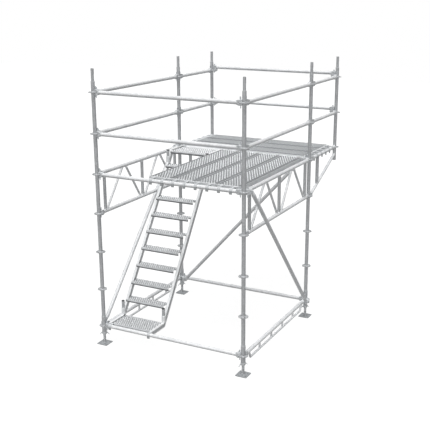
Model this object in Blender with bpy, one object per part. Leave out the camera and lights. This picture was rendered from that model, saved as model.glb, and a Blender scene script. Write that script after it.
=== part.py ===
"""Stair tower of modular scaffold: one bay with a stair inside and a bracketed landing behind.

The standards carry a ring at every half metre.  Ledgers, lattice girders, brackets and braces
end in a head that grips a ring with a driven wedge.  Steel planks and the aluminium stair hang
on the ledgers by claws.  The origin is on the ground, under the middle of the tower; +X is to
the right, +Y to the rear and +Z up.  All sizes are in metres.
"""
import math

import bmesh
import bpy
from mathutils import Matrix, Vector

for leftover in list(bpy.data.objects):
    bpy.data.objects.remove(leftover, do_unlink=True)

# Bay and levels
BAY_WIDTH = 2.0
BAY_DEPTH = 2.0
LANDING_DEPTH = 1.0
RING_SPACING = 0.5
BASE_RING_HEIGHT = 0.25
DECK_RING = 4
TOP_RING = 6

# Tubes, spigots and rings
TUBE_RADIUS = 0.04830 / 2
TUBE_SIDES = 12
SMALL_TUBE_SIDES = 10
POST_SIDES = 8
ROD_SIDES = 6
SPIGOT_RADIUS = 0.019
SPIGOT_LENGTH = 0.150
SPIGOT_CHAMFER = 0.004
SPIGOT_PLAY = 0.0008
SPIGOT_END_PLAY = 0.002
RING_RADIUS = 0.062
RING_THICKNESS = 0.009
RING_HOLE_INNER = 0.0350
RING_HOLE_OUTER = 0.0570
RING_HOLE_WIDTH = 0.0150
TUBE_ABOVE_RING = 0.130
SEAT_GAP = 0.0003

# Base collars and screw jacks
COLLAR_RADIUS = 0.0285
COLLAR_BELOW_RING = 0.090
SPINDLE_RADIUS = 0.018
SPINDLE_PLAY = 0.0015
SPINDLE_REACH = 0.200
PLATE_SIZE = 0.150
PLATE_THICKNESS = 0.008
PLATE_CORNER = 0.012
PLATE_HOLE_RADIUS = 0.009
PLATE_HOLE_INSET = 0.026
NUT_RADIUS = 0.029
NUT_HEIGHT = 0.045
NUT_EAR_BELOW_TOP = 0.008
NUT_EAR_HEIGHT = 0.020
NUT_EAR_BEND = 0.036
NUT_EAR_REACH = 0.060
NUT_EAR_DROP = 0.042
NUT_EAR_TIP = 0.014
NUT_EAR_THICKNESS = 0.012

# Wedge heads
HEAD_LENGTH = 0.088
HEAD_WIDTH = 0.0475
HEAD_HEIGHT = 0.070
HEAD_TAPER_END = 0.060
HEADS_PER_RING = 8
HEAD_SIDE_GAP = 0.0004
WEDGE_THICKNESS = 0.006
WEDGE_HEIGHT = 0.132
WEDGE_INNER = 0.038
WEDGE_TOP_WIDTH = 0.021
WEDGE_FOOT_WIDTH = 0.012
TUBE_LAP = 0.010
RAISED_RAIL = 0.050
RAISED_HEAD_FOOT = 0.018
RAISED_HEAD_TOP = 0.080

# Lattice girders
GIRDER_POST_RADIUS = 0.020
GIRDER_POST_INSET = 0.145
GIRDER_BAR_RADIUS = 0.015
GIRDER_FOOT_INSET = 0.166
GIRDER_CREST = 0.583
GIRDER_CREST_GAP = 0.054
GIRDER_MIDDLE_GAP = 0.096

# Stiffened base ledgers
STIFFENER_RADIUS = 0.0145
STIFFENER_DROP = 0.100
STIFFENER_INSET = 0.200
STIFFENER_END_RISE = 0.050
STIFFENER_SPACERS = 4
STIFFENER_END_GAPS = 0.75
SPACER_RADIUS = 0.013

# Landing brackets
BRACKET_POST_BELOW_RING = 0.190
BRACKET_CHORD_RADIUS = 0.02403
BRACKET_STRUT_RADIUS = 0.020
BRACKET_STRUT_MEETS = 0.100
BRACKET_WEB_RADIUS = 0.0225
BRACKET_WEB_PLACE = 0.310

# Diagonal braces
BRACE_OFFSET = 0.050
BRACE_END_INSET = 0.0925
BRACE_TUBE_TRIM = 0.050
BRACE_TONGUE_WIDTH = 0.040
BRACE_TONGUE_THICKNESS = 0.012
BRACE_TONGUE_PAST = 0.034

# Steel planks
PLANK_WIDTH = 0.300
PLANK_PITCH = 0.302
PLANK_TOP = 0.035
PLANK_DEPTH = 0.060
PLANK_SHEET = 0.0025
PLANK_LIP = 0.014
PLANK_END_INSET = 0.070
PLANK_END_PLATE = 0.005
PLANK_END_LAP = 0.0008
MAIN_PLANK_START = 0.712
LANDING_PLANK_START = 0.037
LAST_PLANK_CLEAR = 0.030
CLAW_SPACING = 0.152
CLAW_WIDTH = 0.036
CLAW_TOP = 0.0335
CLAW_JAW = 0.0085
CLAW_DROP = 0.016
CLAW_OUTER_DROP = 0.045
CLAW_ARM_LAP = 0.006

# Aluminium stair
STRINGER_WIDTH = 0.035
STRINGER_DEPTH = 0.060
STAIR_LEFT = 0.058
STAIR_WIDTH = 0.642
STRINGER_FOOT_LEVEL = 0.005
STAIR_END_GAP = 0.030
STAIR_CLAW_LAP = 0.015
FOOT_BEND = 0.330
HEAD_BEND = 0.335
TREAD_COUNT = 9
TREAD_RISE = 0.200
TREAD_FIRST_TOP = 0.240
TREAD_DEPTH = 0.153
TREAD_LIP = 0.035
TREAD_RETURN = 0.012
TREAD_SHEET = 0.003
TREAD_FORWARD = 0.0367
TRAY_BELOW_STRINGER = 0.012
FOOT_TRAY_DEPTH = 0.320
HEAD_TRAY_DEPTH = 0.370
STUB_RADIUS = 0.0195
FOOT_STUB_PLACE = 0.345
FOOT_STUB_TOP = 0.232
HEAD_STUB_FROM_REAR = 0.440
HEAD_STUB_TOP = 0.040
SOCKET_RADIUS = 0.0255
SOCKET_HEIGHT = 0.050
SOCKET_LAP = 0.004

FLAT = math.cos(math.pi / TUBE_SIDES)
HEAD_HALF_ANGLE = math.pi / HEADS_PER_RING
SMOOTH_UP_TO = math.radians(35)
WELD_DISTANCE = 0.00001
LEFT = -BAY_WIDTH / 2
RIGHT = BAY_WIDTH / 2
FRONT = -(BAY_DEPTH + LANDING_DEPTH + RING_RADIUS * FLAT - PLATE_SIZE / 2) / 2
REAR = FRONT + BAY_DEPTH
LANDING_END = REAR + LANDING_DEPTH


def ring_level(number):
    """Height of a ring above the ground, counted from the bottom ring."""
    return BASE_RING_HEIGHT + number * RING_SPACING


DECK_LEVEL = ring_level(DECK_RING)
LOWER_TOP = DECK_LEVEL + TUBE_ABOVE_RING
UPPER_TOP = ring_level(TOP_RING) + TUBE_ABOVE_RING
COLLAR_FOOT = BASE_RING_HEIGHT - COLLAR_BELOW_RING
COLLAR_TOP = BASE_RING_HEIGHT + TUBE_ABOVE_RING


def material(name, colour, roughness, metallic):
    """A plain finish from its colour, roughness and metallic value."""
    finish = bpy.data.materials.new(name)
    finish.use_nodes = True
    shader = finish.node_tree.nodes["Principled BSDF"]
    shader.inputs["Base Color"].default_value = (*colour, 1.0)
    shader.inputs["Roughness"].default_value = roughness
    shader.inputs["Metallic"].default_value = metallic
    return finish


GALVANISED = material("galvanised_steel", (0.56, 0.57, 0.58), 0.45, 0.8)
PLANK_STEEL = material("galvanised_sheet", (0.50, 0.51, 0.52), 0.5, 0.8)
ALUMINIUM = material("mill_aluminium", (0.72, 0.73, 0.74), 0.4, 0.9)


def finished_mesh(bm):
    """A mesh from the edited shape, faces outwards."""
    bmesh.ops.recalc_face_normals(bm, faces=bm.faces)
    mesh = bpy.data.meshes.new("solid")
    bm.to_mesh(mesh)
    bm.free()
    return mesh


def turned(profile, sides=TUBE_SIDES):
    """A solid turned about Z from (radius, height) points that run from axis to axis."""
    half_step = math.pi / sides
    bm = bmesh.new()
    points = []
    for radius, height in profile:
        points.append(bm.verts.new((radius * math.cos(half_step), radius * math.sin(half_step), height)))
    edges = [bm.edges.new(pair) for pair in zip(points, points[1:])]
    bmesh.ops.spin(bm, geom=points + edges, cent=(0, 0, 0), axis=(0, 0, 1), angle=2 * math.pi,
                   steps=sides, use_merge=True)
    bmesh.ops.remove_doubles(bm, verts=bm.verts, dist=WELD_DISTANCE)
    return finished_mesh(bm)


def bar(start, end, radius, sides=TUBE_SIDES):
    """A straight round bar between two points."""
    start = Vector(start)
    run = Vector(end) - start
    mesh = turned([(0, 0), (radius, 0), (radius, run.length), (0, run.length)], sides)
    mesh.transform(Matrix.Translation(start) @ run.to_track_quat("Z", "Y").to_matrix().to_4x4())
    return mesh


def extruded(outline, low, high, plane):
    """An outline in the XY, XZ or YZ plane, extruded along the third axis from low to high."""
    place = {"XY": lambda a, b, c: (a, b, c), "XZ": lambda a, b, c: (a, c, b), "YZ": lambda a, b, c: (c, a, b)}
    bm = bmesh.new()
    face = bm.faces.new([bm.verts.new(place[plane](a, b, low)) for a, b in outline])
    grown = bmesh.ops.extrude_face_region(bm, geom=[face])["geom"]
    lifted = [item for item in grown if isinstance(item, bmesh.types.BMVert)]
    bmesh.ops.translate(bm, verts=lifted, vec=place[plane](0, 0, high - low))
    return finished_mesh(bm)


def rectangle(low_a, high_a, low_b, high_b):
    return [(low_a, low_b), (high_a, low_b), (high_a, high_b), (low_a, high_b)]


def shaped(solids, cutters=(), cores=()):
    """One solid: the first one united with the others, less the cutters, then united with the cores."""
    scene = bpy.context.scene.collection
    body = bpy.data.objects.new("body", solids[0])
    scene.objects.link(body)
    helpers = []
    for operation, meshes in (("UNION", solids[1:]), ("DIFFERENCE", cutters), ("UNION", cores)):
        for mesh in meshes:
            helper = bpy.data.objects.new("helper", mesh)
            scene.objects.link(helper)
            helpers.append(helper)
            step = body.modifiers.new(operation.lower(), "BOOLEAN")
            step.operation = operation
            step.solver = "EXACT"
            step.object = helper
    depsgraph = bpy.context.evaluated_depsgraph_get()
    result = bpy.data.meshes.new_from_object(body.evaluated_get(depsgraph))
    for helper in helpers + [body]:
        bpy.data.objects.remove(helper, do_unlink=True)
    return result


def moved(mesh, matrix):
    mesh.transform(matrix)
    return mesh


def add_piece(name, mesh, finish, location=(0, 0, 0), turn=0.0):
    """One named piece of the tower, turned about Z and set at its place."""
    if not mesh.materials:
        mesh.materials.append(finish)
        mesh.shade_smooth()
        mesh.set_sharp_from_angle(angle=SMOOTH_UP_TO)
    piece = bpy.data.objects.new(name, mesh)
    piece.location = location
    piece.rotation_euler = (0, 0, turn)
    bpy.context.scene.collection.objects.link(piece)
    return piece


def ring_steps(radius, level):
    """The four profile points of a ring welded round a tube."""
    half = RING_THICKNESS / 2
    return [(radius, level - half), (RING_RADIUS, level - half),
            (RING_RADIUS, level + half), (radius, level + half)]


def ring_holes(levels):
    """Cutters for the wedge holes through the rings at these levels, as one mesh."""
    half_width = RING_HOLE_WIDTH / 2
    outline = rectangle(RING_HOLE_INNER, RING_HOLE_OUTER, -half_width, half_width)
    bm = bmesh.new()
    for level in levels:
        for number in range(HEADS_PER_RING):
            hole = extruded(outline, level - RING_THICKNESS, level + RING_THICKNESS, "XY")
            hole.transform(Matrix.Rotation(number * 2 * HEAD_HALF_ANGLE, 4, "Z"))
            bm.from_mesh(hole)
    return finished_mesh(bm)


def spigot_steps(level):
    """Profile points from the shoulder of a tube up its spigot to the axis."""
    top = level + SPIGOT_LENGTH
    return [(TUBE_RADIUS, level), (SPIGOT_RADIUS, level), (SPIGOT_RADIUS, top - SPIGOT_CHAMFER),
            (SPIGOT_RADIUS - SPIGOT_CHAMFER, top), (0, top)]


def bore_steps(foot, depth, radius):
    """Profile points from the axis down the bore in a tube's foot."""
    return [(0, foot + depth), (radius, foot + depth), (radius, foot)]


# Standards: a long lower tube on its base collar and a metre of tube above the deck
spindle_top = COLLAR_FOOT + SPINDLE_REACH
lower_profile = bore_steps(COLLAR_FOOT, SPINDLE_REACH + SPIGOT_END_PLAY, SPINDLE_RADIUS + SPINDLE_PLAY)
lower_profile += [(COLLAR_RADIUS, COLLAR_FOOT)]
lower_profile += ring_steps(COLLAR_RADIUS, BASE_RING_HEIGHT)
lower_profile += [(COLLAR_RADIUS, COLLAR_TOP), (TUBE_RADIUS, COLLAR_TOP)]
for number in range(1, DECK_RING + 1):
    lower_profile += ring_steps(TUBE_RADIUS, ring_level(number))
lower_profile += spigot_steps(LOWER_TOP)
lower_levels = [ring_level(number) for number in range(DECK_RING + 1)]
lower_mesh = shaped([turned(lower_profile)], [ring_holes(lower_levels)])

upper_foot = LOWER_TOP + SEAT_GAP
upper_profile = bore_steps(upper_foot, SPIGOT_LENGTH + SPIGOT_END_PLAY, SPIGOT_RADIUS + SPIGOT_PLAY)
upper_profile += [(TUBE_RADIUS, upper_foot)]
for number in range(DECK_RING + 1, TOP_RING + 1):
    upper_profile += ring_steps(TUBE_RADIUS, ring_level(number))
upper_profile += spigot_steps(UPPER_TOP)
upper_levels = [ring_level(number) for number in range(DECK_RING + 1, TOP_RING + 1)]
upper_mesh = shaped([turned(upper_profile)], [ring_holes(upper_levels)])

corners = {
    "front_left": (LEFT, FRONT),
    "front_right": (RIGHT, FRONT),
    "rear_right": (RIGHT, REAR),
    "rear_left": (LEFT, REAR),
}
landing_corners = {"landing_left": (LEFT, LANDING_END), "landing_right": (RIGHT, LANDING_END)}
for place, (x, y) in corners.items():
    add_piece("lower_standard_" + place, lower_mesh, GALVANISED, (x, y, 0))
for place, (x, y) in {**corners, **landing_corners}.items():
    add_piece("upper_standard_" + place, upper_mesh, GALVANISED, (x, y, 0))


# Screw jacks: a drilled foot plate, a spindle inside the collar and a nut with two ears
def jack_mesh():
    half = PLATE_SIZE / 2
    cut = half - PLATE_CORNER
    plate = extruded([(-cut, -half), (cut, -half), (half, -cut), (half, cut),
                      (cut, half), (-cut, half), (-half, cut), (-half, -cut)], 0, PLATE_THICKNESS, "XY")
    spindle_foot = PLATE_THICKNESS / 2
    spindle = turned([(0, spindle_foot), (SPINDLE_RADIUS, spindle_foot), (SPINDLE_RADIUS, spindle_top),
                      (0, spindle_top)], SMALL_TUBE_SIDES)
    nut_top = COLLAR_FOOT - SEAT_GAP
    nut_foot = nut_top - NUT_HEIGHT
    nut = turned([(0, nut_foot), (NUT_RADIUS, nut_foot), (NUT_RADIUS, nut_top), (0, nut_top)], SMALL_TUBE_SIDES)
    ear_top = nut_top - NUT_EAR_BELOW_TOP
    ear_tip = ear_top - NUT_EAR_DROP
    right_ear = [(NUT_EAR_BEND, ear_top), (NUT_EAR_REACH, ear_tip),
                 (NUT_EAR_REACH - NUT_EAR_TIP, ear_tip - NUT_EAR_TIP / 2),
                 (NUT_EAR_BEND - NUT_EAR_TIP / 2, ear_top - NUT_EAR_HEIGHT)]
    left_ear = [(-x, z) for x, z in reversed(right_ear)]
    ears = extruded(right_ear + left_ear, -NUT_EAR_THICKNESS / 2, NUT_EAR_THICKNESS / 2, "XZ")
    ears.transform(Matrix.Rotation(math.pi / 4, 4, "Z"))
    hole_place = half - PLATE_HOLE_INSET
    holes = []
    for side_x in (-1, 1):
        for side_y in (-1, 1):
            hole = turned([(0, -PLATE_THICKNESS), (PLATE_HOLE_RADIUS, -PLATE_THICKNESS),
                           (PLATE_HOLE_RADIUS, 2 * PLATE_THICKNESS), (0, 2 * PLATE_THICKNESS)], ROD_SIDES)
            holes.append(moved(hole, Matrix.Translation((side_x * hole_place, side_y * hole_place, 0))))
    return shaped([plate, spindle, nut, ears], holes)


screw_jack = jack_mesh()
for place, (x, y) in corners.items():
    add_piece("screw_jack_" + place, screw_jack, GALVANISED, (x, y, 0))


# Wedge heads: a tapered jaw that closes over a ring, with its wedge driven down behind the ring's edge
def wedge_mesh(foot, top):
    """The tapered wedge between two heights above the ring's middle."""
    growth = (WEDGE_TOP_WIDTH - WEDGE_FOOT_WIDTH) / WEDGE_HEIGHT
    middle_width = (WEDGE_TOP_WIDTH + WEDGE_FOOT_WIDTH) / 2
    outline = [(WEDGE_INNER, foot), (WEDGE_INNER + middle_width + growth * foot, foot),
               (WEDGE_INNER + middle_width + growth * top, top), (WEDGE_INNER, top)]
    return extruded(outline, -WEDGE_THICKNESS / 2, WEDGE_THICKNESS / 2, "XZ")


def wedge_head(seat, matrix=Matrix.Identity(4), foot=-HEAD_HEIGHT / 2, top=HEAD_HEIGHT / 2):
    """Solids of one head on a ring at the origin, the slot for the ring and the wedge in the ring's hole."""
    inner_half = seat * math.tan(HEAD_HALF_ANGLE) - HEAD_SIDE_GAP
    half = HEAD_WIDTH / 2
    plan = [(seat, -inner_half), (HEAD_TAPER_END, -half), (HEAD_LENGTH, -half),
            (HEAD_LENGTH, half), (HEAD_TAPER_END, half), (seat, inner_half)]
    jaw = extruded(plan, foot, top, "XY")
    lift = (foot + top) / 2
    wedge = moved(wedge_mesh(-WEDGE_HEIGHT / 2, WEDGE_HEIGHT / 2), Matrix.Translation((0, 0, lift)))
    gap = RING_THICKNESS / 2 + SEAT_GAP
    slot = extruded(rectangle(0, RING_RADIUS + SEAT_GAP, -gap, gap), -HEAD_WIDTH, HEAD_WIDTH, "XZ")
    core = moved(wedge_mesh(-gap - lift - TUBE_LAP, gap - lift + TUBE_LAP), Matrix.Translation((0, 0, lift)))
    return [moved(jaw, matrix), moved(wedge, matrix)], [moved(slot, matrix)], [moved(core, matrix)]


FLAT_SEAT = TUBE_RADIUS * FLAT + SEAT_GAP
EDGE_SEAT = TUBE_RADIUS + SEAT_GAP
COLLAR_FLAT_SEAT = COLLAR_RADIUS * FLAT + SEAT_GAP
COLLAR_EDGE_SEAT = COLLAR_RADIUS + SEAT_GAP


def far_end(length, height=0.0):
    """Turns the near end's shapes round to the far end of a piece that lies along X."""
    return Matrix.Translation((length, 0, height)) @ Matrix.Rotation(math.pi, 4, "Z")


def joined_parts(*pieces):
    """The solids, slots and cores of several pieces, list by list."""
    return tuple([mesh for piece in pieces for mesh in piece[kind]] for kind in range(len(pieces[0])))


def chord(length, seat, height=0.0, rise=0.0, foot=-HEAD_HEIGHT / 2, top=HEAD_HEIGHT / 2):
    """Solids, slots and cores of a tube along X with two wedge heads; rise lifts the tube off the rings."""
    near = wedge_head(seat, Matrix.Translation((0, 0, height)), foot, top)
    far = wedge_head(seat, far_end(length, height), foot, top)
    tube_start = HEAD_LENGTH - TUBE_LAP
    tube = bar((tube_start, 0, height + rise), (length - tube_start, 0, height + rise), TUBE_RADIUS)
    return joined_parts(([tube], [], []), near, far)


def ledger_mesh(length, seat=FLAT_SEAT):
    return shaped(*chord(length, seat))


def raised_rail_mesh(length):
    """A rail whose tube and heads sit above the rings that they grip."""
    return shaped(*chord(length, FLAT_SEAT, 0.0, RAISED_RAIL, -RAISED_HEAD_FOOT, RAISED_HEAD_TOP))


QUARTER_TURN = math.pi / 2

# Plain ledgers and guard rails
width_ledger = ledger_mesh(BAY_WIDTH)
depth_ledger = ledger_mesh(BAY_DEPTH)
landing_ledger = ledger_mesh(LANDING_DEPTH)
raised_rail = raised_rail_mesh(BAY_WIDTH)
base_ledger = ledger_mesh(BAY_WIDTH, COLLAR_FLAT_SEAT)
add_piece("base_ledger_front", base_ledger, GALVANISED, (LEFT, FRONT, BASE_RING_HEIGHT))
add_piece("base_ledger_rear", base_ledger, GALVANISED, (LEFT, REAR, BASE_RING_HEIGHT))
add_piece("deck_ledger_front", width_ledger, GALVANISED, (LEFT, FRONT, DECK_LEVEL))
add_piece("deck_ledger_rear", width_ledger, GALVANISED, (LEFT, REAR, DECK_LEVEL))
for rail, number in (("lower", DECK_RING + 1), ("upper", DECK_RING + 2)):
    level = ring_level(number)
    add_piece("guard_rail_front_" + rail, width_ledger, GALVANISED, (LEFT, FRONT, level))
    add_piece("landing_rail_rear_" + rail, raised_rail, GALVANISED, (LEFT, LANDING_END, level))
    for side, x in (("left", LEFT), ("right", RIGHT)):
        place = side + "_" + rail
        add_piece("guard_rail_" + place, depth_ledger, GALVANISED, (x, FRONT, level), QUARTER_TURN)
        add_piece("landing_rail_" + place, landing_ledger, GALVANISED, (x, REAR, level), QUARTER_TURN)


# Side base ledgers, stiffened by a thinner tube hung below on spacers
def stiffened_ledger_mesh(length):
    solids, slots, cores = chord(length, COLLAR_FLAT_SEAT)
    low_start = STIFFENER_INSET
    low_end = length - STIFFENER_INSET
    low_tube = bar((low_start, 0, -STIFFENER_DROP), (low_end, 0, -STIFFENER_DROP), STIFFENER_RADIUS, POST_SIDES)
    solids.append(low_tube)
    for low, side in ((low_start, -1), (low_end, 1)):
        top = low + side * STIFFENER_END_RISE
        foot = low - side * STIFFENER_RADIUS / 2
        solids.append(bar((foot, 0, -STIFFENER_DROP), (top, 0, 0), STIFFENER_RADIUS, ROD_SIDES))
    gaps = STIFFENER_SPACERS - 1
    spacing = (low_end - low_start) / (gaps + 2 * STIFFENER_END_GAPS)
    first = low_start + STIFFENER_END_GAPS * spacing
    for number in range(STIFFENER_SPACERS):
        x = first + number * spacing
        solids.append(bar((x, 0, -STIFFENER_DROP), (x, 0, 0), SPACER_RADIUS, ROD_SIDES))
    return shaped(solids, slots, cores)


stiffened_ledger = stiffened_ledger_mesh(BAY_DEPTH)
add_piece("base_ledger_left", stiffened_ledger, GALVANISED, (LEFT, FRONT, BASE_RING_HEIGHT), QUARTER_TURN)
add_piece("base_ledger_right", stiffened_ledger, GALVANISED, (RIGHT, FRONT, BASE_RING_HEIGHT), QUARTER_TURN)


# Lattice girders under the sides of the deck; their wedges stop at the ring's faces
def girder_mesh(length):
    low_chord = chord(length, FLAT_SEAT)
    solids, slots, _ = joined_parts(low_chord, chord(length, FLAT_SEAT, RING_SPACING))
    middle = length / 2
    for x in (GIRDER_POST_INSET, middle, length - GIRDER_POST_INSET):
        solids.append(bar((x, 0, 0), (x, 0, RING_SPACING), GIRDER_POST_RADIUS, POST_SIDES))
    crest_half = GIRDER_CREST_GAP / 2
    middle_half = GIRDER_MIDDLE_GAP / 2
    half_bars = [(GIRDER_FOOT_INSET, GIRDER_CREST - crest_half),
                 (middle - middle_half, GIRDER_CREST + crest_half)]
    for foot, crest in half_bars:
        solids.append(bar((foot, 0, 0), (crest, 0, RING_SPACING), GIRDER_BAR_RADIUS, ROD_SIDES))
        far_foot = (length - foot, 0, 0)
        solids.append(bar(far_foot, (length - crest, 0, RING_SPACING), GIRDER_BAR_RADIUS, ROD_SIDES))
    return shaped(solids, slots)


lattice_girder = girder_mesh(BAY_DEPTH)
girder_level = ring_level(DECK_RING - 1)
add_piece("lattice_girder_left", lattice_girder, GALVANISED, (LEFT, FRONT, girder_level), QUARTER_TURN)
add_piece("lattice_girder_right", lattice_girder, GALVANISED, (RIGHT, FRONT, girder_level), QUARTER_TURN)


# Landing brackets: a chord and a strut from two rings to an end post with its own ring
def bracket_mesh(reach):
    foot_head = wedge_head(FLAT_SEAT, Matrix.Translation((0, 0, -RING_SPACING)))
    solids, slots, cores = joined_parts(wedge_head(FLAT_SEAT), foot_head)
    post_profile = [(0, -BRACKET_POST_BELOW_RING), (TUBE_RADIUS, -BRACKET_POST_BELOW_RING)]
    post_profile += ring_steps(TUBE_RADIUS, 0)
    post_profile += spigot_steps(TUBE_ABOVE_RING)
    post = moved(turned(post_profile), Matrix.Translation((reach, 0, 0)))
    post_holes = moved(ring_holes([0]), Matrix.Translation((reach, 0, 0)))
    tube_start = HEAD_LENGTH - TUBE_LAP
    chord_end = reach - TUBE_RADIUS / 2
    strut_foot = -RING_SPACING + SEAT_GAP
    strut = bar((tube_start, 0, strut_foot), (reach, 0, -BRACKET_STRUT_MEETS), BRACKET_STRUT_RADIUS,
                SMALL_TUBE_SIDES)
    share = (BRACKET_WEB_PLACE - tube_start) / (reach - tube_start)
    web_foot = strut_foot + share * (-BRACKET_STRUT_MEETS - strut_foot)
    web = bar((BRACKET_WEB_PLACE, 0, web_foot), (BRACKET_WEB_PLACE, 0, 0), BRACKET_WEB_RADIUS, POST_SIDES)
    top_chord = bar((tube_start, 0, 0), (chord_end, 0, 0), BRACKET_CHORD_RADIUS)
    return shaped([post] + solids + [strut, web], slots + [post_holes], cores + [top_chord])


landing_bracket = bracket_mesh(LANDING_DEPTH)
add_piece("landing_bracket_left", landing_bracket, GALVANISED, (LEFT, REAR, DECK_LEVEL), QUARTER_TURN)
add_piece("landing_bracket_right", landing_bracket, GALVANISED, (RIGHT, REAR, DECK_LEVEL), QUARTER_TURN)


# Diagonal braces: a tube beside the bay's plane, flattened at each end onto a head on the ring's diagonal hole
def brace_end(angle, seat, side, matrix):
    """The head, the tongue and the slot at the brace's foot; side is the Y side the tube runs on."""
    head_turn = Matrix.Rotation(side * math.pi / 4, 4, "Z")
    head = wedge_head(seat, matrix @ head_turn)
    along = BRACE_TUBE_TRIM / math.sin(angle) + BRACE_TUBE_TRIM / 2
    half = BRACE_TONGUE_WIDTH / 2
    start = -BRACE_TONGUE_PAST
    outline = [(start, -half / 2), (start + half / 2, -half), (along, -half),
               (along, half), (start + half / 2, half), (start, half / 2)]
    low = side * BRACE_OFFSET - BRACE_TONGUE_THICKNESS / 2
    tongue = extruded(outline, low, low + BRACE_TONGUE_THICKNESS, "XZ")
    slope = Matrix.Translation((BRACE_END_INSET, 0, 0)) @ Matrix.Rotation(-angle, 4, "Y")
    return joined_parts(([moved(tongue, matrix @ slope)], [], []), head)


def brace_mesh(length, height, side):
    angle = math.atan2(height, length - 2 * BRACE_END_INSET)
    foot_end = brace_end(angle, COLLAR_EDGE_SEAT, side, Matrix.Identity(4))
    turned_over = Matrix.Translation((length, 0, height)) @ Matrix.Rotation(math.pi, 4, "Y")
    head_end = brace_end(angle, EDGE_SEAT, side, turned_over)
    trim = BRACE_TUBE_TRIM / math.tan(angle)
    y = side * BRACE_OFFSET
    tube = bar((BRACE_END_INSET + trim, y, BRACE_TUBE_TRIM),
               (length - BRACE_END_INSET - trim, y, height - BRACE_TUBE_TRIM), TUBE_RADIUS)
    return shaped(*joined_parts(([tube], [], []), foot_end, head_end))


brace_rise = DECK_LEVEL - BASE_RING_HEIGHT
add_piece("brace_left", brace_mesh(BAY_DEPTH, brace_rise, 1), GALVANISED,
          (LEFT, FRONT, BASE_RING_HEIGHT), QUARTER_TURN)
add_piece("brace_right", brace_mesh(BAY_DEPTH, brace_rise, 1), GALVANISED,
          (RIGHT, REAR, BASE_RING_HEIGHT), -QUARTER_TURN)
add_piece("brace_rear", brace_mesh(BAY_WIDTH, brace_rise, -1), GALVANISED,
          (LEFT, REAR, BASE_RING_HEIGHT))


# Planks: pressed channels with turned-in lips, an end plate and two claws at each end
def claw_outline(arm_end, arm_top=CLAW_TOP):
    """Side view of a claw over a tube at the origin; its arm runs to arm_end along the first axis."""
    seat = TUBE_RADIUS * FLAT + SEAT_GAP
    corner = (TUBE_RADIUS + SEAT_GAP) * math.sqrt(2) - seat
    outer = seat + CLAW_JAW
    return [(-outer, -CLAW_OUTER_DROP), (-outer, corner), (-corner, arm_top), (arm_end, arm_top),
            (arm_end, -CLAW_DROP), (seat, -CLAW_DROP), (seat, corner), (corner, seat),
            (-corner, seat), (-seat, corner), (-seat, -CLAW_OUTER_DROP)]


def plank_mesh(span):
    half = PLANK_WIDTH / 2
    foot = PLANK_TOP - PLANK_DEPTH
    sheet = PLANK_SHEET
    section = [(-half, foot), (-half + PLANK_LIP, foot), (-half + PLANK_LIP, foot + sheet),
               (-half + sheet, foot + sheet), (-half + sheet, PLANK_TOP - sheet),
               (half - sheet, PLANK_TOP - sheet), (half - sheet, foot + sheet),
               (half - PLANK_LIP, foot + sheet), (half - PLANK_LIP, foot),
               (half, foot), (half, PLANK_TOP), (-half, PLANK_TOP)]
    solids = [extruded(section, PLANK_END_INSET, span - PLANK_END_INSET, "YZ")]
    inset = PLANK_END_LAP
    arm_end = PLANK_END_INSET + PLANK_END_PLATE
    for matrix in (Matrix.Identity(4), far_end(span)):
        plate = extruded(rectangle(-half + inset, half - inset, foot + inset, PLANK_TOP - inset),
                         PLANK_END_INSET + inset, arm_end + inset, "YZ")
        solids.append(moved(plate, matrix))
        for side in (-1, 1):
            middle = side * CLAW_SPACING / 2
            claw = extruded(claw_outline(arm_end), middle - CLAW_WIDTH / 2, middle + CLAW_WIDTH / 2, "XZ")
            solids.append(moved(claw, matrix))
    return shaped(solids)


def plank_places(start, width):
    """Middle lines of the planks that fit side by side on a deck, from its first edge to its last tube."""
    room = width - LAST_PLANK_CLEAR - start
    count = math.floor(room / PLANK_PITCH)
    return [start + PLANK_WIDTH / 2 + number * PLANK_PITCH for number in range(count)]


main_plank = plank_mesh(BAY_DEPTH)
for number, place in enumerate(plank_places(MAIN_PLANK_START, BAY_WIDTH)):
    location = (LEFT + place, FRONT, DECK_LEVEL)
    add_piece(f"deck_plank_{number + 1}", main_plank, PLANK_STEEL, location, QUARTER_TURN)
landing_plank = plank_mesh(BAY_WIDTH)
for number, place in enumerate(plank_places(LANDING_PLANK_START, LANDING_DEPTH)):
    add_piece(f"landing_plank_{number + 1}", landing_plank, PLANK_STEEL, (LEFT, REAR + place, DECK_LEVEL))


# Stair stringers: a box section bent at foot and head, with claws and handrail stubs
stair_left = LEFT + STAIR_LEFT
stair_right = stair_left + STAIR_WIDTH
foot_level = BASE_RING_HEIGHT + STRINGER_FOOT_LEVEL
head_level = DECK_LEVEL
stringer_path = [(FRONT + STAIR_END_GAP, foot_level), (FRONT + FOOT_BEND, foot_level),
                 (REAR - HEAD_BEND, head_level), (REAR - STAIR_END_GAP, head_level)]
stair_slope = (stringer_path[2][1] - stringer_path[1][1]) / (stringer_path[2][0] - stringer_path[1][0])
slope_angle = math.atan(stair_slope)


def stringer_outline(path, depth):
    """A band of even depth along a bent path, mitred at its bends."""
    upper = []
    lower = []
    for index, point in enumerate(path):
        here = Vector(point)
        normals = []
        if index > 0:
            step = here - Vector(path[index - 1])
            normals.append(Vector((-step.y, step.x)).normalized())
        if index < len(path) - 1:
            step = Vector(path[index + 1]) - here
            normals.append(Vector((-step.y, step.x)).normalized())
        mitre = sum(normals, Vector((0, 0))).normalized()
        reach = depth / 2 / mitre.dot(normals[0])
        upper.append(tuple(here + mitre * reach))
        lower.append(tuple(here - mitre * reach))
    return upper + lower[::-1]


def slope_level(y):
    """Height of the stringer's centre line at a place along the flight."""
    return stringer_path[1][1] + (y - stringer_path[1][0]) * stair_slope


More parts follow.
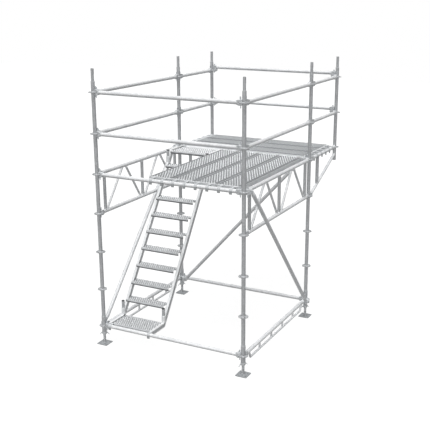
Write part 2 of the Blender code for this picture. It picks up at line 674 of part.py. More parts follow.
def stringer_mesh(x_low, x_high, claw_low, claw_high):
    solids = [extruded(stringer_outline(stringer_path, STRINGER_DEPTH), x_low, x_high, "YZ")]
    middle = (x_low + x_high) / 2
    arm_end = STAIR_END_GAP + STAIR_CLAW_LAP
    foot_claw = [(FRONT + a, BASE_RING_HEIGHT + b) for a, b in claw_outline(arm_end)]
    head_claw = [(REAR - a, DECK_LEVEL + b) for a, b in claw_outline(arm_end, CLAW_TOP - STRINGER_FOOT_LEVEL)]
    solids.append(extruded(foot_claw, claw_low, claw_high, "YZ"))
    solids.append(extruded(head_claw, claw_low, claw_high, "YZ"))
    foot_y = FRONT + FOOT_STUB_PLACE
    head_y = REAR - HEAD_STUB_FROM_REAR
    for y, top in ((foot_y, BASE_RING_HEIGHT + FOOT_STUB_TOP), (head_y, DECK_LEVEL + HEAD_STUB_TOP)):
        surface = slope_level(y) + STRINGER_DEPTH / 2 / math.cos(slope_angle)
        socket_foot = surface - SOCKET_RADIUS * stair_slope - SOCKET_LAP
        socket_top = surface + SOCKET_HEIGHT
        solids.append(bar((middle, y, surface), (middle, y, top), STUB_RADIUS, SMALL_TUBE_SIDES))
        solids.append(bar((middle, y, socket_foot), (middle, y, socket_top), SOCKET_RADIUS, SMALL_TUBE_SIDES))
    return shaped(solids)


left_inner = stair_left + STRINGER_WIDTH
right_inner = stair_right - STRINGER_WIDTH
claw_start = LEFT + HEAD_LENGTH + SEAT_GAP
claw_end = left_inner + CLAW_WIDTH - CLAW_ARM_LAP
right_claw_inset = CLAW_ARM_LAP / 2
left_stringer = stringer_mesh(stair_left, left_inner, claw_start, claw_end)
right_stringer = stringer_mesh(right_inner, stair_right, right_inner + right_claw_inset,
                               stair_right - right_claw_inset)
add_piece("stair_stringer_left", left_stringer, ALUMINIUM)
add_piece("stair_stringer_right", right_stringer, ALUMINIUM)


# Treads and trays: folded sheet channels between the stringers
def folded_sheet(front, top, depth):
    """A sheet with its front and rear edges folded down and their lips turned in."""
    rear = front + depth
    foot = top - TREAD_LIP
    sheet = TREAD_SHEET
    outline = [(front, foot), (front + TREAD_RETURN, foot), (front + TREAD_RETURN, foot + sheet),
               (front + sheet, foot + sheet), (front + sheet, top - sheet), (rear - sheet, top - sheet),
               (rear - sheet, foot + sheet), (rear - TREAD_RETURN, foot + sheet), (rear - TREAD_RETURN, foot),
               (rear, foot), (rear, top), (front, top)]
    return extruded(outline, left_inner + SEAT_GAP, right_inner - SEAT_GAP, "YZ")


for number in range(TREAD_COUNT):
    top = BASE_RING_HEIGHT + TREAD_FIRST_TOP + number * TREAD_RISE
    front = FRONT + FOOT_BEND + (top - foot_level) / stair_slope - TREAD_DEPTH / 2 - TREAD_FORWARD
    add_piece(f"stair_tread_{number + 1}", folded_sheet(front, top, TREAD_DEPTH), ALUMINIUM)
tray_front = FRONT + STAIR_END_GAP + STAIR_CLAW_LAP + SEAT_GAP
tray_rear = REAR - STAIR_END_GAP - STAIR_CLAW_LAP - SEAT_GAP
tray_drop = STRINGER_DEPTH / 2 - TRAY_BELOW_STRINGER
add_piece("stair_foot_tray", folded_sheet(tray_front, foot_level + tray_drop, FOOT_TRAY_DEPTH), ALUMINIUM)
add_piece("stair_head_tray", folded_sheet(tray_rear - HEAD_TRAY_DEPTH, head_level + tray_drop, HEAD_TRAY_DEPTH),
          ALUMINIUM)
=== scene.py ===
import math

import bmesh
import bpy
from mathutils import Matrix, Vector


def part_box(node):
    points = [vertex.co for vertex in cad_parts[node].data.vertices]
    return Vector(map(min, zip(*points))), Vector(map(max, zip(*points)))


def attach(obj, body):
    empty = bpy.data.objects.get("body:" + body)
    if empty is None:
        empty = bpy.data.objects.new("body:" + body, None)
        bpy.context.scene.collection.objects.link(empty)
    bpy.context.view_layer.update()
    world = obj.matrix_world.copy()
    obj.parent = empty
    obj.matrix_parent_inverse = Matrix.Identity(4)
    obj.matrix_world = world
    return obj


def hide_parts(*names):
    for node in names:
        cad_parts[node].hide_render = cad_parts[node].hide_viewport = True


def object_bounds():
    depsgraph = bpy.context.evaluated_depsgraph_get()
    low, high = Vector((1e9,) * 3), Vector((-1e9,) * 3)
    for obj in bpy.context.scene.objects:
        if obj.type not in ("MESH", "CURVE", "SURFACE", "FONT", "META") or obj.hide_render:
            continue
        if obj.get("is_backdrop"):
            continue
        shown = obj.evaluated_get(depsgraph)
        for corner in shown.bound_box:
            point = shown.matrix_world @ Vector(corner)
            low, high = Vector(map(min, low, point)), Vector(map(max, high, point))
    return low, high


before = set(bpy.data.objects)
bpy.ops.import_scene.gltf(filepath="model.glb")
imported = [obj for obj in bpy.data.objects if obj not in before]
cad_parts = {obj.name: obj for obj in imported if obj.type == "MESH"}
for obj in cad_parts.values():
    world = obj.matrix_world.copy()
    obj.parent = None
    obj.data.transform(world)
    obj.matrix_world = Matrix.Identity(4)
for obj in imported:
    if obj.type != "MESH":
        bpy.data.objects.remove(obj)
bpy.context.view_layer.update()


# Screw jacks
# Each standard stands on a 150 mm foot plate of 8 mm steel, drilled for nails, with a threaded
# 36 mm spindle welded to it. A cast nut with two drooping ears carries the collar and sets the
# height. All of it is hot-dip galvanised, which leaves the threads and the casting dull and grainy.
PLATE_SIZE = 0.150
PLATE_THICKNESS = 0.008
PLATE_EDGE = 0.0009
PLATE_CORNER = 0.012
PLATE_HOLE_RADIUS = 0.009
PLATE_HOLE_INSET = 0.026
SPINDLE_RADIUS = 0.0179
SPINDLE_SIDES = 14
SPINDLE_TOP = 0.170
THREAD_PITCH = 0.009
THREAD_DEPTH = 0.0022
THREAD_STEPS = 6
THREAD_FLANK = 1.6
WELD_PROFILE = [(0.0240, 0.0072), (0.0235, 0.0105), (0.0205, 0.0135), (0.0170, 0.0150)]
NUT_PROFILE = [(0.0255, 0.1290), (0.0290, 0.1330), (0.0290, 0.1497), (0.0315, 0.1517), (0.0315, 0.1587),
               (0.0300, 0.1597)]
EAR_ROOT = 0.024
EAR_ROOT_HALF = 0.001
EAR_LEVEL = 0.1475
EAR_HALF_WIDTH = 0.0075
EAR_HALF_HEIGHT = 0.0105
EAR_TAPER = 0.93
ROUNDED_EDGE = 0.0022
# Each bend of an ear: metres out, metres up, and degrees that its end turns down
EAR_BENDS = ((0.010, 0.000, 8), (0.007, -0.003, 22), (0.006, -0.006, 20), (0.006, -0.009, 5),
             (0.006, -0.009, -10))
EAR_TURNS = {"front_left": 30, "front_right": 60, "rear_right": 40, "rear_left": 50}


def start_fresh():
    """Object mode with nothing selected, so that the next primitive is worked on alone."""
    if bpy.context.mode != "OBJECT":
        bpy.ops.object.mode_set(mode="OBJECT")
    bpy.ops.object.select_all(action="DESELECT")


def edit_all():
    """The new primitive in edit mode, selected all over."""
    bpy.ops.object.mode_set(mode="EDIT")
    bpy.ops.mesh.select_mode(type="VERT")
    bpy.ops.mesh.select_all(action="SELECT")


def select_where(kind, wanted):
    """Selects the elements of one kind in the mesh in edit mode for which wanted(element) is true."""
    mesh = bpy.context.edit_object.data
    bpy.ops.mesh.select_mode(type=kind)
    bm = bmesh.from_edit_mesh(mesh)
    for element in {"VERT": bm.verts, "EDGE": bm.edges, "FACE": bm.faces}[kind]:
        element.select_set(wanted(element))
    bm.select_flush_mode()
    bmesh.update_edit_mesh(mesh)


def select_faces(wanted):
    """Selects the faces for which wanted(middle, normal) is true."""
    select_where("FACE", lambda face: wanted(face.calc_center_median(), face.normal))


def select_points(wanted):
    """Selects the vertices for which wanted(place) is true."""
    select_where("VERT", lambda point: wanted(point.co))


def drawn(*steps):
    """Extrudes the selection through the steps."""
    for step in steps:
        bpy.ops.mesh.extrude_region_move(TRANSFORM_OT_translate={"value": step})


def rim_through(radius, level, steps):
    """Extrudes the selected round rim from its radius and height to each further one."""
    for next_radius, next_level in steps:
        drawn((0, 0, next_level - level))
        share = next_radius / radius
        bpy.ops.transform.resize(value=(share, share, 1), center_override=(0, 0, next_level))
        radius, level = next_radius, next_level


def leave_edit(smooth_angle=35):
    """Object mode again, place applied, with edges sharper than the angle kept sharp."""
    bpy.ops.object.mode_set(mode="OBJECT")
    bpy.ops.object.transform_apply(location=True, rotation=True, scale=True)
    bpy.ops.object.shade_smooth_by_angle(angle=math.radians(smooth_angle))
    return bpy.context.object


def outward(smooth_angle=35):
    """Turns the faces of the mesh in edit mode outwards and leaves edit mode."""
    bpy.ops.mesh.select_all(action="SELECT")
    bpy.ops.mesh.normals_make_consistent(inside=False)
    return leave_edit(smooth_angle)


def block(low, high):
    """A box primitive between two corners, in edit mode."""
    start_fresh()
    low = Vector(low)
    high = Vector(high)
    bpy.ops.mesh.primitive_cube_add(size=1, location=(low + high) / 2, scale=high - low)
    bpy.ops.object.transform_apply(location=True, rotation=False, scale=True)
    edit_all()


def round_bar(start, end, radius, sides=20):
    """A round bar primitive from one point to the other."""
    start_fresh()
    start = Vector(start)
    run = Vector(end) - start
    turn = run.to_track_quat("Z", "Y").to_euler()
    bpy.ops.mesh.primitive_cylinder_add(vertices=sides, radius=radius, depth=run.length,
                                        location=start + run / 2, rotation=turn)
    edit_all()
    return leave_edit()


def raised_circle(steps, sides=24):
    """A turned form: a disc at the first (radius, height), extruded up to each further one."""
    start_fresh()
    radius, level = steps[0]
    bpy.ops.mesh.primitive_circle_add(vertices=sides, radius=radius, fill_type="NGON", location=(0, 0, level))
    edit_all()
    rim_through(radius, level, steps[1:])


def joined(name, *parts):
    """One object from several finished ones."""
    start_fresh()
    for part in parts:
        part.select_set(True)
    bpy.context.view_layer.objects.active = parts[0]
    if len(parts) > 1:
        bpy.ops.object.join()
    parts[0].name = name
    return parts[0]


def discard(*patterns):
    """Deletes the objects that pieces were copied from."""
    for pattern in patterns:
        bpy.data.objects.remove(pattern)


def cut(body, *tools):
    """Takes the tools' shapes out of the body and deletes the tools."""
    start_fresh()
    bpy.context.view_layer.objects.active = body
    for tool in tools:
        step = body.modifiers.new("cut", "BOOLEAN")
        step.operation = "DIFFERENCE"
        step.solver = "EXACT"
        step.object = tool
        bpy.ops.object.modifier_apply(modifier=step.name)
        discard(tool)
    return body


def bevelled(body, width, segments=2, limit=35):
    """Rounds the body's sharp edges."""
    start_fresh()
    bpy.context.view_layer.objects.active = body
    step = body.modifiers.new("edges", "BEVEL")
    step.width = width
    step.segments = segments
    step.limit_method = "ANGLE"
    step.angle_limit = math.radians(limit)
    bpy.ops.object.modifier_apply(modifier=step.name)
    body.select_set(True)
    bpy.ops.object.shade_smooth_by_angle(angle=math.radians(limit))
    return body


def repeated(body, matrix):
    """Another copy of a body under construction, moved by a matrix."""
    copy = bpy.data.objects.new(body.name, body.data.copy())
    copy.data.transform(matrix)
    bpy.context.scene.collection.objects.link(copy)
    return copy


def finished(pattern, name, matrix, slot, *nodes):
    """A finished piece: a copy of the pattern with its place in its own mesh."""
    piece = repeated(pattern, matrix)
    piece.name = name
    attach(piece, "root")
    if nodes:
        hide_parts(*nodes)
    return piece


def painted(body, *finishes):
    """Gives a body its materials, in order."""
    body.data.materials.clear()
    for finish in finishes:
        body.data.materials.append(finish)
    return body


def upright(node, level=0.0):
    """Places a piece on the axis of an upright CAD node, at a level above the ground."""
    low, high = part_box(node)
    middle = (low + high) / 2
    return Matrix.Translation((middle.x, middle.y, level))


def linear(code):
    """An sRGB hex colour as linear RGBA."""
    values = []
    for start in (1, 3, 5):
        value = int(code[start:start + 2], 16) / 255
        values.append(value / 12.92 if value <= 0.04045 else ((value + 0.055) / 1.055) ** 2.4)
    return (*values, 1.0)


def add_node(tree, kind, settings, links=None):
    """One shader node with its settings, by attribute or socket name, and what feeds its sockets."""
    node = tree.nodes.new(kind)
    for name, value in settings.items():
        if isinstance(name, int) or name in node.inputs:
            node.inputs[name].default_value = value
        else:
            setattr(node, name, value)
    for name, source in (links or {}).items():
        tree.links.new(source, node.inputs[name])
    return node


def shaded(name, settings, links_of):
    """A material whose shader has plain settings, and links made by links_of(tree)."""
    finish = bpy.data.materials.new(name)
    finish.use_nodes = True
    tree = finish.node_tree
    shader = tree.nodes["Principled BSDF"]
    for socket, value in settings.items():
        shader.inputs[socket].default_value = value
    for socket, source in links_of(tree).items():
        tree.links.new(source, shader.inputs[socket])
    return finish


def toned(name, pattern, tones, metallic, specular=0.5):
    """A material whose pattern runs between a dark and a light tone."""
    settings = {"Metallic": metallic, "Specular IOR Level": specular}
    return shaded(name, settings, lambda tree: pattern(tree, *tones))


def place_on(tree):
    """The object's own coordinates, in metres."""
    return add_node(tree, "ShaderNodeTexCoord", {}).outputs["Object"]


def noise(tree, size, detail, roughness=0.5, place=None):
    """Noise with features of the size in metres."""
    settings = {"Scale": 1 / size, "Detail": detail, "Roughness": roughness}
    return add_node(tree, "ShaderNodeTexNoise", settings, {"Vector": place or place_on(tree)}).outputs["Fac"]


def flakes(tree, size, channel):
    """Flat patches of the size in metres, each of a random grey."""
    cells = add_node(tree, "ShaderNodeTexVoronoi", {"Scale": 1 / size}, {"Vector": place_on(tree)})
    return add_node(tree, "ShaderNodeSeparateColor", {}, {"Color": cells.outputs["Color"]}).outputs[channel]


def share_added(tree, share, part, whole):
    """A share of one pattern added to another."""
    scaled = add_node(tree, "ShaderNodeMath", {"operation": "MULTIPLY", 1: share}, {0: part})
    return add_node(tree, "ShaderNodeMath", {"operation": "ADD"}, {0: scaled.outputs[0], 1: whole}).outputs[0]


def ranged(tree, value, low, high, start, end):
    """Runs from start to end as the value runs from low to high."""
    settings = {"From Min": low, "From Max": high, "To Min": start, "To Max": end}
    return add_node(tree, "ShaderNodeMapRange", settings, {"Value": value}).outputs["Result"]


def two_tones(tree, value, low, high, dark, light):
    """Runs from the dark colour to the light one as the value runs from low to high."""
    ramp = add_node(tree, "ShaderNodeValToRGB", {}, {"Fac": value})
    ramp.color_ramp.elements[0].position = low
    ramp.color_ramp.elements[0].color = linear(dark)
    ramp.color_ramp.elements[1].position = high
    ramp.color_ramp.elements[1].color = linear(light)
    return ramp.outputs["Color"]


def bumped(tree, height, strength, distance):
    """The surface's normal, raised by a pattern."""
    bump = add_node(tree, "ShaderNodeBump", {"Strength": strength, "Distance": distance}, {"Height": height})
    return bump.outputs["Normal"]


# Hot-dip galvanised casting: the zinc lies over a sand-cast skin, so it is dull, slightly
# blotched at 20 mm and grainy at 1.5 mm. The foot plates are stained from wet ground.
CAST_TONES = ("#b8bbbd", "#d8dadc")
STAINED_TONES = ("#8a8d90", "#a6a9ab")
CAST_BLOTCH = 0.020
CAST_GRAIN = 0.0015


def cast_zinc(tree, dark, light):
    blotch = noise(tree, CAST_BLOTCH, 4.0)
    grain = noise(tree, CAST_GRAIN, 2.0)
    return {"Base Color": two_tones(tree, blotch, 0.35, 0.65, dark, light),
            "Roughness": ranged(tree, blotch, 0.0, 1.0, 0.48, 0.66),
            "Normal": bumped(tree, grain, 0.35, 0.0006)}


galvanised_casting = toned("galvanised_casting", cast_zinc, CAST_TONES, 0.15, 0.3)
stained_plate = toned("stained_plate", cast_zinc, STAINED_TONES, 0.15, 0.3)

half_plate = PLATE_SIZE / 2
block((-half_plate, -half_plate, 0), (half_plate, half_plate, PLATE_THICKNESS))
select_where("EDGE", lambda edge: abs(edge.verts[0].co.z - edge.verts[1].co.z) > PLATE_THICKNESS / 2)
bpy.ops.mesh.bevel(offset=PLATE_CORNER, segments=4, affect="EDGES")
foot_plate = leave_edit()
hole_place = half_plate - PLATE_HOLE_INSET
for x in (-hole_place, hole_place):
    for y in (-hole_place, hole_place):
        cut(foot_plate, round_bar((x, y, -PLATE_THICKNESS), (x, y, 2 * PLATE_THICKNESS), PLATE_HOLE_RADIUS))
painted(bevelled(foot_plate, PLATE_EDGE, 1), stained_plate)

# The thread is one lobe on the rod's section, turned as it is extruded up
start_fresh()
bpy.ops.mesh.primitive_circle_add(vertices=SPINDLE_SIDES, radius=SPINDLE_RADIUS, fill_type="NGON",
                                  location=(0, 0, PLATE_THICKNESS / 2))
edit_all()
bm = bmesh.from_edit_mesh(bpy.context.edit_object.data)
for point in bm.verts:
    share = abs(math.atan2(point.co.y, point.co.x)) / math.pi
    point.co.xy *= 1 - THREAD_DEPTH / SPINDLE_RADIUS * min(1, THREAD_FLANK * share)
bmesh.update_edit_mesh(bpy.context.edit_object.data)
thread_rise = THREAD_PITCH / THREAD_STEPS
for number in range(int((SPINDLE_TOP - PLATE_THICKNESS) / thread_rise)):
    drawn((0, 0, thread_rise))
    bpy.ops.transform.rotate(value=2 * math.pi / THREAD_STEPS, orient_axis="Z", center_override=(0, 0, 0))
spindle = painted(outward(50), galvanised_casting)
raised_circle(WELD_PROFILE)
spindle_weld = painted(outward(60), stained_plate)
plated_spindle = joined("plated_spindle", foot_plate, spindle, spindle_weld)

raised_circle(NUT_PROFILE, 20)
nut_parts = [outward(30)]
for side in (-1, 1):
    reach = side * EAR_ROOT
    level = EAR_LEVEL
    block((reach - EAR_ROOT_HALF, -EAR_HALF_WIDTH, level - EAR_HALF_HEIGHT),
          (reach + EAR_ROOT_HALF, EAR_HALF_WIDTH, level + EAR_HALF_HEIGHT))
    select_faces(lambda middle, normal: normal.x * side > 0.9)
    for out, rise, turn in EAR_BENDS:
        drawn((side * out, 0, rise))
        reach += side * out
        level += rise
        bpy.ops.transform.rotate(value=side * math.radians(turn), orient_axis="Y",
                                 center_override=(reach, 0, level))
        bpy.ops.transform.resize(value=(EAR_TAPER, 1, EAR_TAPER), center_override=(reach, 0, level))
    nut_parts.append(bevelled(outward(50), ROUNDED_EDGE, 2, 30))
eared_nut = painted(joined("eared_nut", *nut_parts), galvanised_casting)

for place, ear_turn in EAR_TURNS.items():
    turn = Matrix.Rotation(math.radians(ear_turn), 4, "Z")
    jack = joined("jack", repeated(plated_spindle, Matrix.Identity(4)), repeated(eared_nut, turn))
    finished(jack, "threaded_jack_" + place, upright("lower_standard_" + place), "galvanised_casting",
             "screw_jack_" + place)
    discard(jack)
discard(plated_spindle, eared_nut)


# Lower standards
# Steel tube of 48.3 mm, 3.2 mm thick, with a pressed ring welded on at every half metre. Its foot
# stands in a wider collar that has a ring of its own. The tube is dipped whole after welding, and
# the zinc keeps faint spangles and the runs and cloudy patches of the bath.
TUBE_RADIUS = 0.02415
TUBE_WALL = 0.0032
TUBE_SIDES = 28
COLLAR_RADIUS = 0.0285
COLLAR_FOOT = 0.160
COLLAR_TOP = 0.380
COLLAR_LAP = 0.002
BASE_RING = 0.250
RING_SPACING = 0.500
RING_INNER = TUBE_RADIUS - 0.001
RING_RADIUS = 0.0598
RING_THICKNESS = 0.009
RING_SEGMENTS = 48
HOLE_INNER = 0.0335
HOLE_OUTER = 0.0560
NARROW_HOLE_SEGMENTS = 1.6
WIDE_HOLE_SEGMENTS = 2.1
WELD_SIZE = 0.004
DECK_LEVEL = 2.250
JOINT_LEVEL = 2.380
SPIGOT_RADIUS = 0.019
PIN_HOLE_RADIUS = 0.0055
LOWER_PIN_HOLE = 0.460
END_CHAMFER = 0.0012
CORNERS = ("front_left", "front_right", "rear_right", "rear_left")

# Hot-dip galvanised tube: the zinc's spangles are 10 to 20 mm across, the bath leaves paler and
# darker clouds about 120 mm long, and its skin ripples at 6 mm. Standards, posts and the webs of
# brackets, which stand upright, are given a darker grey than ledgers and rails: painted shade, for
# the light from above that falls on them only at a slant.
ZINC_TONES = ("#dcdee0", "#eff0f1")
UPRIGHT_SHADE_TONES = ("#b2b4b6", "#c6c8ca")
SPANGLE_SIZE = 0.014
CLOUD_SIZE = 0.120
RIPPLE_SIZE = 0.006


def bath_zinc(tree, dark, light):
    patches = share_added(tree, 0.35, flakes(tree, SPANGLE_SIZE, "Red"), noise(tree, CLOUD_SIZE, 5.0, 0.6))
    ripple = noise(tree, RIPPLE_SIZE, 2.0)
    return {"Base Color": two_tones(tree, patches, 0.45, 0.90, dark, light),
            "Roughness": ranged(tree, patches, 0.3, 1.0, 0.42, 0.60),
            "Normal": bumped(tree, ripple, 0.12, 0.0005)}


galvanised_tube = toned("galvanised_tube", bath_zinc, ZINC_TONES, 0.10, 0.2)
# Upright tubes get a darker grey: painted shade, as the light from above reaches them at a slant
upright_shade_tube = toned("galvanised_tube_upright_shade", bath_zinc, UPRIGHT_SHADE_TONES, 0.10, 0.2)

# The ring: eight holes, four wide ones at the corners and four narrow ones for square joints
start_fresh()
bpy.ops.mesh.primitive_circle_add(vertices=RING_SEGMENTS, radius=RING_INNER, fill_type="NOTHING",
                                  rotation=(0, 0, math.pi / RING_SEGMENTS))
edit_all()
rim_through(RING_INNER, 0, [(HOLE_INNER, 0), (HOLE_OUTER, 0), (RING_RADIUS, 0)])
segment_angle = 2 * math.pi / RING_SEGMENTS


def in_ring_hole(middle, normal):
    """Whether a facet of the flat ring lies in one of its eight holes."""
    if not HOLE_INNER < middle.xy.length < HOLE_OUTER:
        return False
    turn = math.atan2(middle.y, middle.x) % (math.pi / 2)
    narrow = min(turn, math.pi / 2 - turn) < NARROW_HOLE_SEGMENTS * segment_angle
    wide = abs(turn - math.pi / 4) < WIDE_HOLE_SEGMENTS * segment_angle
    return narrow or wide


select_faces(in_ring_hole)
bpy.ops.mesh.delete(type="FACE")
ring_plate = outward()
thickened = ring_plate.modifiers.new("plate", "SOLIDIFY")
thickened.thickness = RING_THICKNESS
thickened.offset = 0
bpy.ops.object.modifier_apply(modifier="plate")
bevelled(ring_plate, 0.0012, 2, 50)


def tube_steps(foot, top, radius, rings):
    """Profile of a tube with chamfered ends and a weld bead above and below each ring."""
    half = RING_THICKNESS / 2
    steps = [(radius - END_CHAMFER, foot), (radius, foot + END_CHAMFER)]
    for level in rings:
        steps += [(radius, level - half - WELD_SIZE), (radius + WELD_SIZE, level - half),
                  (radius + WELD_SIZE, level + half), (radius, level + half + WELD_SIZE)]
    return steps + [(radius, top - END_CHAMFER), (radius - END_CHAMFER, top)]


def shade_painted_standard(name, tube, levels):
    """The tube joined with a ring at each level, in the darker grey of painted shade."""
    rings = [repeated(ring_plate, Matrix.Translation((0, 0, level))) for level in levels]
    return painted(joined(name, tube, *rings), upright_shade_tube)


def pin_hole(level):
    """A tool for a pin hole from side to side."""
    return round_bar((-2 * COLLAR_RADIUS, 0, level), (2 * COLLAR_RADIUS, 0, level), PIN_HOLE_RADIUS, 14)


raised_circle(tube_steps(COLLAR_FOOT, COLLAR_TOP, COLLAR_RADIUS, [BASE_RING])
              + [(RING_INNER, COLLAR_TOP)], TUBE_SIDES)
collar = shade_painted_standard("collar", outward(), [BASE_RING])

upper_rings = [BASE_RING + number * RING_SPACING for number in range(1, 5)]
raised_circle([(TUBE_RADIUS, COLLAR_TOP - COLLAR_LAP)]
              + tube_steps(COLLAR_TOP, JOINT_LEVEL, TUBE_RADIUS, upper_rings)[2:]
              + [(SPIGOT_RADIUS, JOINT_LEVEL)], TUBE_SIDES)
lower_tube = shade_painted_standard("lower_tube", cut(outward(), pin_hole(LOWER_PIN_HOLE)), upper_rings)
for place in CORNERS:
    node = "lower_standard_" + place
    finished(collar, "base_collar_" + place, upright(node), "galvanised_tube", node)
    finished(lower_tube, "ringed_standard_" + place, upright(node), "galvanised_tube", node)
discard(collar, lower_tube)


# Upper standards
# A metre of the same tube with two rings slips over the spigot of the standard or bracket below
# it. Its own spigot, a narrower tube pressed in and welded round, sticks out on top, open-ended
# and drilled across for a locking pin.
SPIGOT_WALL = 0.0036
SPIGOT_TOP = 3.530
SPIGOT_EDGE = 0.0015
SPIGOT_BORE_DEPTH = 0.300
UPPER_FOOT = 2.3803
UPPER_TOP = 3.380
UPPER_PIN_HOLE = 2.4665
SPIGOT_PIN_HOLE = 3.4675

rail_rings = [DECK_LEVEL + RING_SPACING, DECK_LEVEL + 2 * RING_SPACING]
bore_radius = SPIGOT_RADIUS - SPIGOT_WALL
raised_circle(tube_steps(UPPER_FOOT, UPPER_TOP, TUBE_RADIUS, rail_rings)
              + [(SPIGOT_RADIUS + SPIGOT_EDGE, UPPER_TOP + 0.0005), (SPIGOT_RADIUS, UPPER_TOP + 0.002),
                 (SPIGOT_RADIUS, SPIGOT_TOP - SPIGOT_EDGE), (SPIGOT_RADIUS - SPIGOT_EDGE, SPIGOT_TOP),
                 (bore_radius, SPIGOT_TOP), (bore_radius, SPIGOT_TOP - SPIGOT_BORE_DEPTH)], TUBE_SIDES)
bpy.ops.mesh.edge_face_add()
upper_tube = cut(outward(), pin_hole(UPPER_PIN_HOLE), pin_hole(SPIGOT_PIN_HOLE))
upper_tube = shade_painted_standard("upper_tube", upper_tube, rail_rings)
for place in CORNERS + ("landing_left", "landing_right"):
    node = "upper_standard_" + place
    finished(upper_tube, "spigot_standard_" + place, upright(node), "galvanised_tube", node)
discard(upper_tube)


# Ledgers and guard rails
# A 48.3 mm tube with a cast head welded into each end. The head's jaws slip over a ring and its
# wedge, a loose tapered bar kept in by a rivet, is hammered down through the ring's hole. Heads
# are cast steel, dipped with the tube, and the wedges are zinc plated, so they are brighter.
HEAD_SEAT = 0.0245
HEAD_TAPER_END = 0.060
HEAD_LENGTH = 0.088
HEAD_HALF_WIDTH = 0.0237
HEAD_HALF_HEIGHT = 0.035
RAISED_HEAD_FOOT = -0.018
RAISED_HEAD_TOP = 0.080
RAISED_TUBE_LEVEL = 0.050
HEAD_NOSE_HALF_WIDTH = 0.0095
HEAD_NOSE_SHARE = 0.92
HEAD_TAIL_SHARE = 0.74
HEAD_ROUNDING = 0.005
SEAT_CLEARANCE = 0.0006
JAW_EDGE = 0.0007
JAW_GAP = 0.0104
JAW_DEPTH = 0.0625
JAW_HALF_WIDTH = 0.04
WEDGE_SLOT_START = 0.0366
WEDGE_SLOT_END = 0.0606
WEDGE_SLOT_WIDTH = 0.0074
CUT_PAST = 0.01
WEDGE_THICKNESS = 0.006
WEDGE_INNER = 0.038
WEDGE_HALF_HEIGHT = 0.066
WEDGE_TOP_WIDTH = 0.021
WEDGE_FOOT_WIDTH = 0.012
RIVET_RADIUS = 0.0032
RIVET_ABOVE_FOOT = 0.009
# The saddle round the tube's end: radius, and distance past the head
SADDLE_PROFILE = [(0.0215, -0.006), (0.0245, -0.001), (0.0262, 0.001), (0.0258, 0.004), (0.02315, 0.006)]
TUBE_START = 0.0785
LEDGER_LENGTH = 2.0
LANDING_LENGTH = 1.0

# Zinc-plated wedge steel: brighter and smoother than the dipped zinc, with fine lengthwise
# grinding marks about 2 mm apart.
WEDGE_TONES = ("#9a9ea1", "#c9cccf")
GRIND_SPACING = 0.002


def plated_zinc(tree):
    marks = noise(tree, GRIND_SPACING, 2.0)
    return {"Base Color": two_tones(tree, marks, 0.35, 0.65, *WEDGE_TONES),
            "Normal": bumped(tree, marks, 0.2, 0.0003)}


wedge_zinc = shaded("zinc_plated_wedge", {"Metallic": 0.8, "Roughness": 0.34}, plated_zinc)


def cast_head(foot, top, tube_level):
    """A head with its jaws open at the ring's level, slotted for the wedge, with a saddle for the tube."""
    block((HEAD_SEAT, -HEAD_HALF_WIDTH, foot), (HEAD_LENGTH, HEAD_HALF_WIDTH, top))
    bpy.ops.mesh.bisect(plane_co=(HEAD_TAPER_END, 0, 0), plane_no=(1, 0, 0))
    select_points(lambda point: point.x < HEAD_SEAT + 0.001)
    bpy.ops.transform.resize(value=(1, HEAD_NOSE_HALF_WIDTH / HEAD_HALF_WIDTH, HEAD_NOSE_SHARE),
                             center_override=(0, 0, (foot + top) / 2))
    select_points(lambda point: point.x > HEAD_LENGTH - 0.001)
    bpy.ops.transform.resize(value=(1, 1, HEAD_TAIL_SHARE), center_override=(0, 0, tube_level))
    body = bevelled(outward(20), HEAD_ROUNDING, 3, 15)
    block((0, -JAW_HALF_WIDTH, -JAW_GAP / 2), (JAW_DEPTH, JAW_HALF_WIDTH, JAW_GAP / 2))
    mouth = leave_edit()
    block((WEDGE_SLOT_START, -WEDGE_SLOT_WIDTH / 2, foot - CUT_PAST),
          (WEDGE_SLOT_END, WEDGE_SLOT_WIDTH / 2, top + CUT_PAST))
    wedge_slot = leave_edit()
    tube_seat = round_bar((0, 0, foot - CUT_PAST), (0, 0, top + CUT_PAST), HEAD_SEAT + SEAT_CLEARANCE, 32)
    bevelled(cut(body, mouth, wedge_slot, tube_seat), JAW_EDGE, 1, 40)
    raised_circle([(radius, HEAD_LENGTH + past) for radius, past in SADDLE_PROFILE])
    saddle = outward(60)
    saddle.data.transform(Matrix.Translation((0, 0, tube_level)) @ Matrix.Rotation(math.pi / 2, 4, "Y"))
    return painted(joined("head", body, saddle), galvanised_casting)


head = cast_head(-HEAD_HALF_HEIGHT, HEAD_HALF_HEIGHT, 0)
raised_head = cast_head(RAISED_HEAD_FOOT, RAISED_HEAD_TOP, RAISED_TUBE_LEVEL)

block((WEDGE_INNER, -WEDGE_THICKNESS / 2, -WEDGE_HALF_HEIGHT),
      (WEDGE_INNER + WEDGE_TOP_WIDTH, WEDGE_THICKNESS / 2, WEDGE_HALF_HEIGHT))
select_points(lambda point: point.z < 0 and point.x > WEDGE_INNER + WEDGE_FOOT_WIDTH / 2)
bpy.ops.transform.translate(value=(WEDGE_FOOT_WIDTH - WEDGE_TOP_WIDTH, 0, 0))
wedge = bevelled(outward(), 0.0013, 2, 30)
rivet_place = Vector((WEDGE_INNER + WEDGE_FOOT_WIDTH / 2, 0, -WEDGE_HALF_HEIGHT + RIVET_ABOVE_FOOT))
rivet_half = Vector((0, WEDGE_THICKNESS, 0))
rivet = bevelled(round_bar(rivet_place - rivet_half, rivet_place + rivet_half, RIVET_RADIUS, 12), 0.001, 1)
wedge = painted(joined("wedge", wedge, rivet), wedge_zinc)


def head_at(matrix):
    """A head with its wedge, moved to its ring."""
    return [repeated(head, matrix), repeated(wedge, matrix)]


def turned_round(length, level=0.0):
    """Turns the near end's shapes round to the far end of a piece along X."""
    return Matrix.Translation((length, 0, level)) @ Matrix.Rotation(math.pi, 4, "Z")


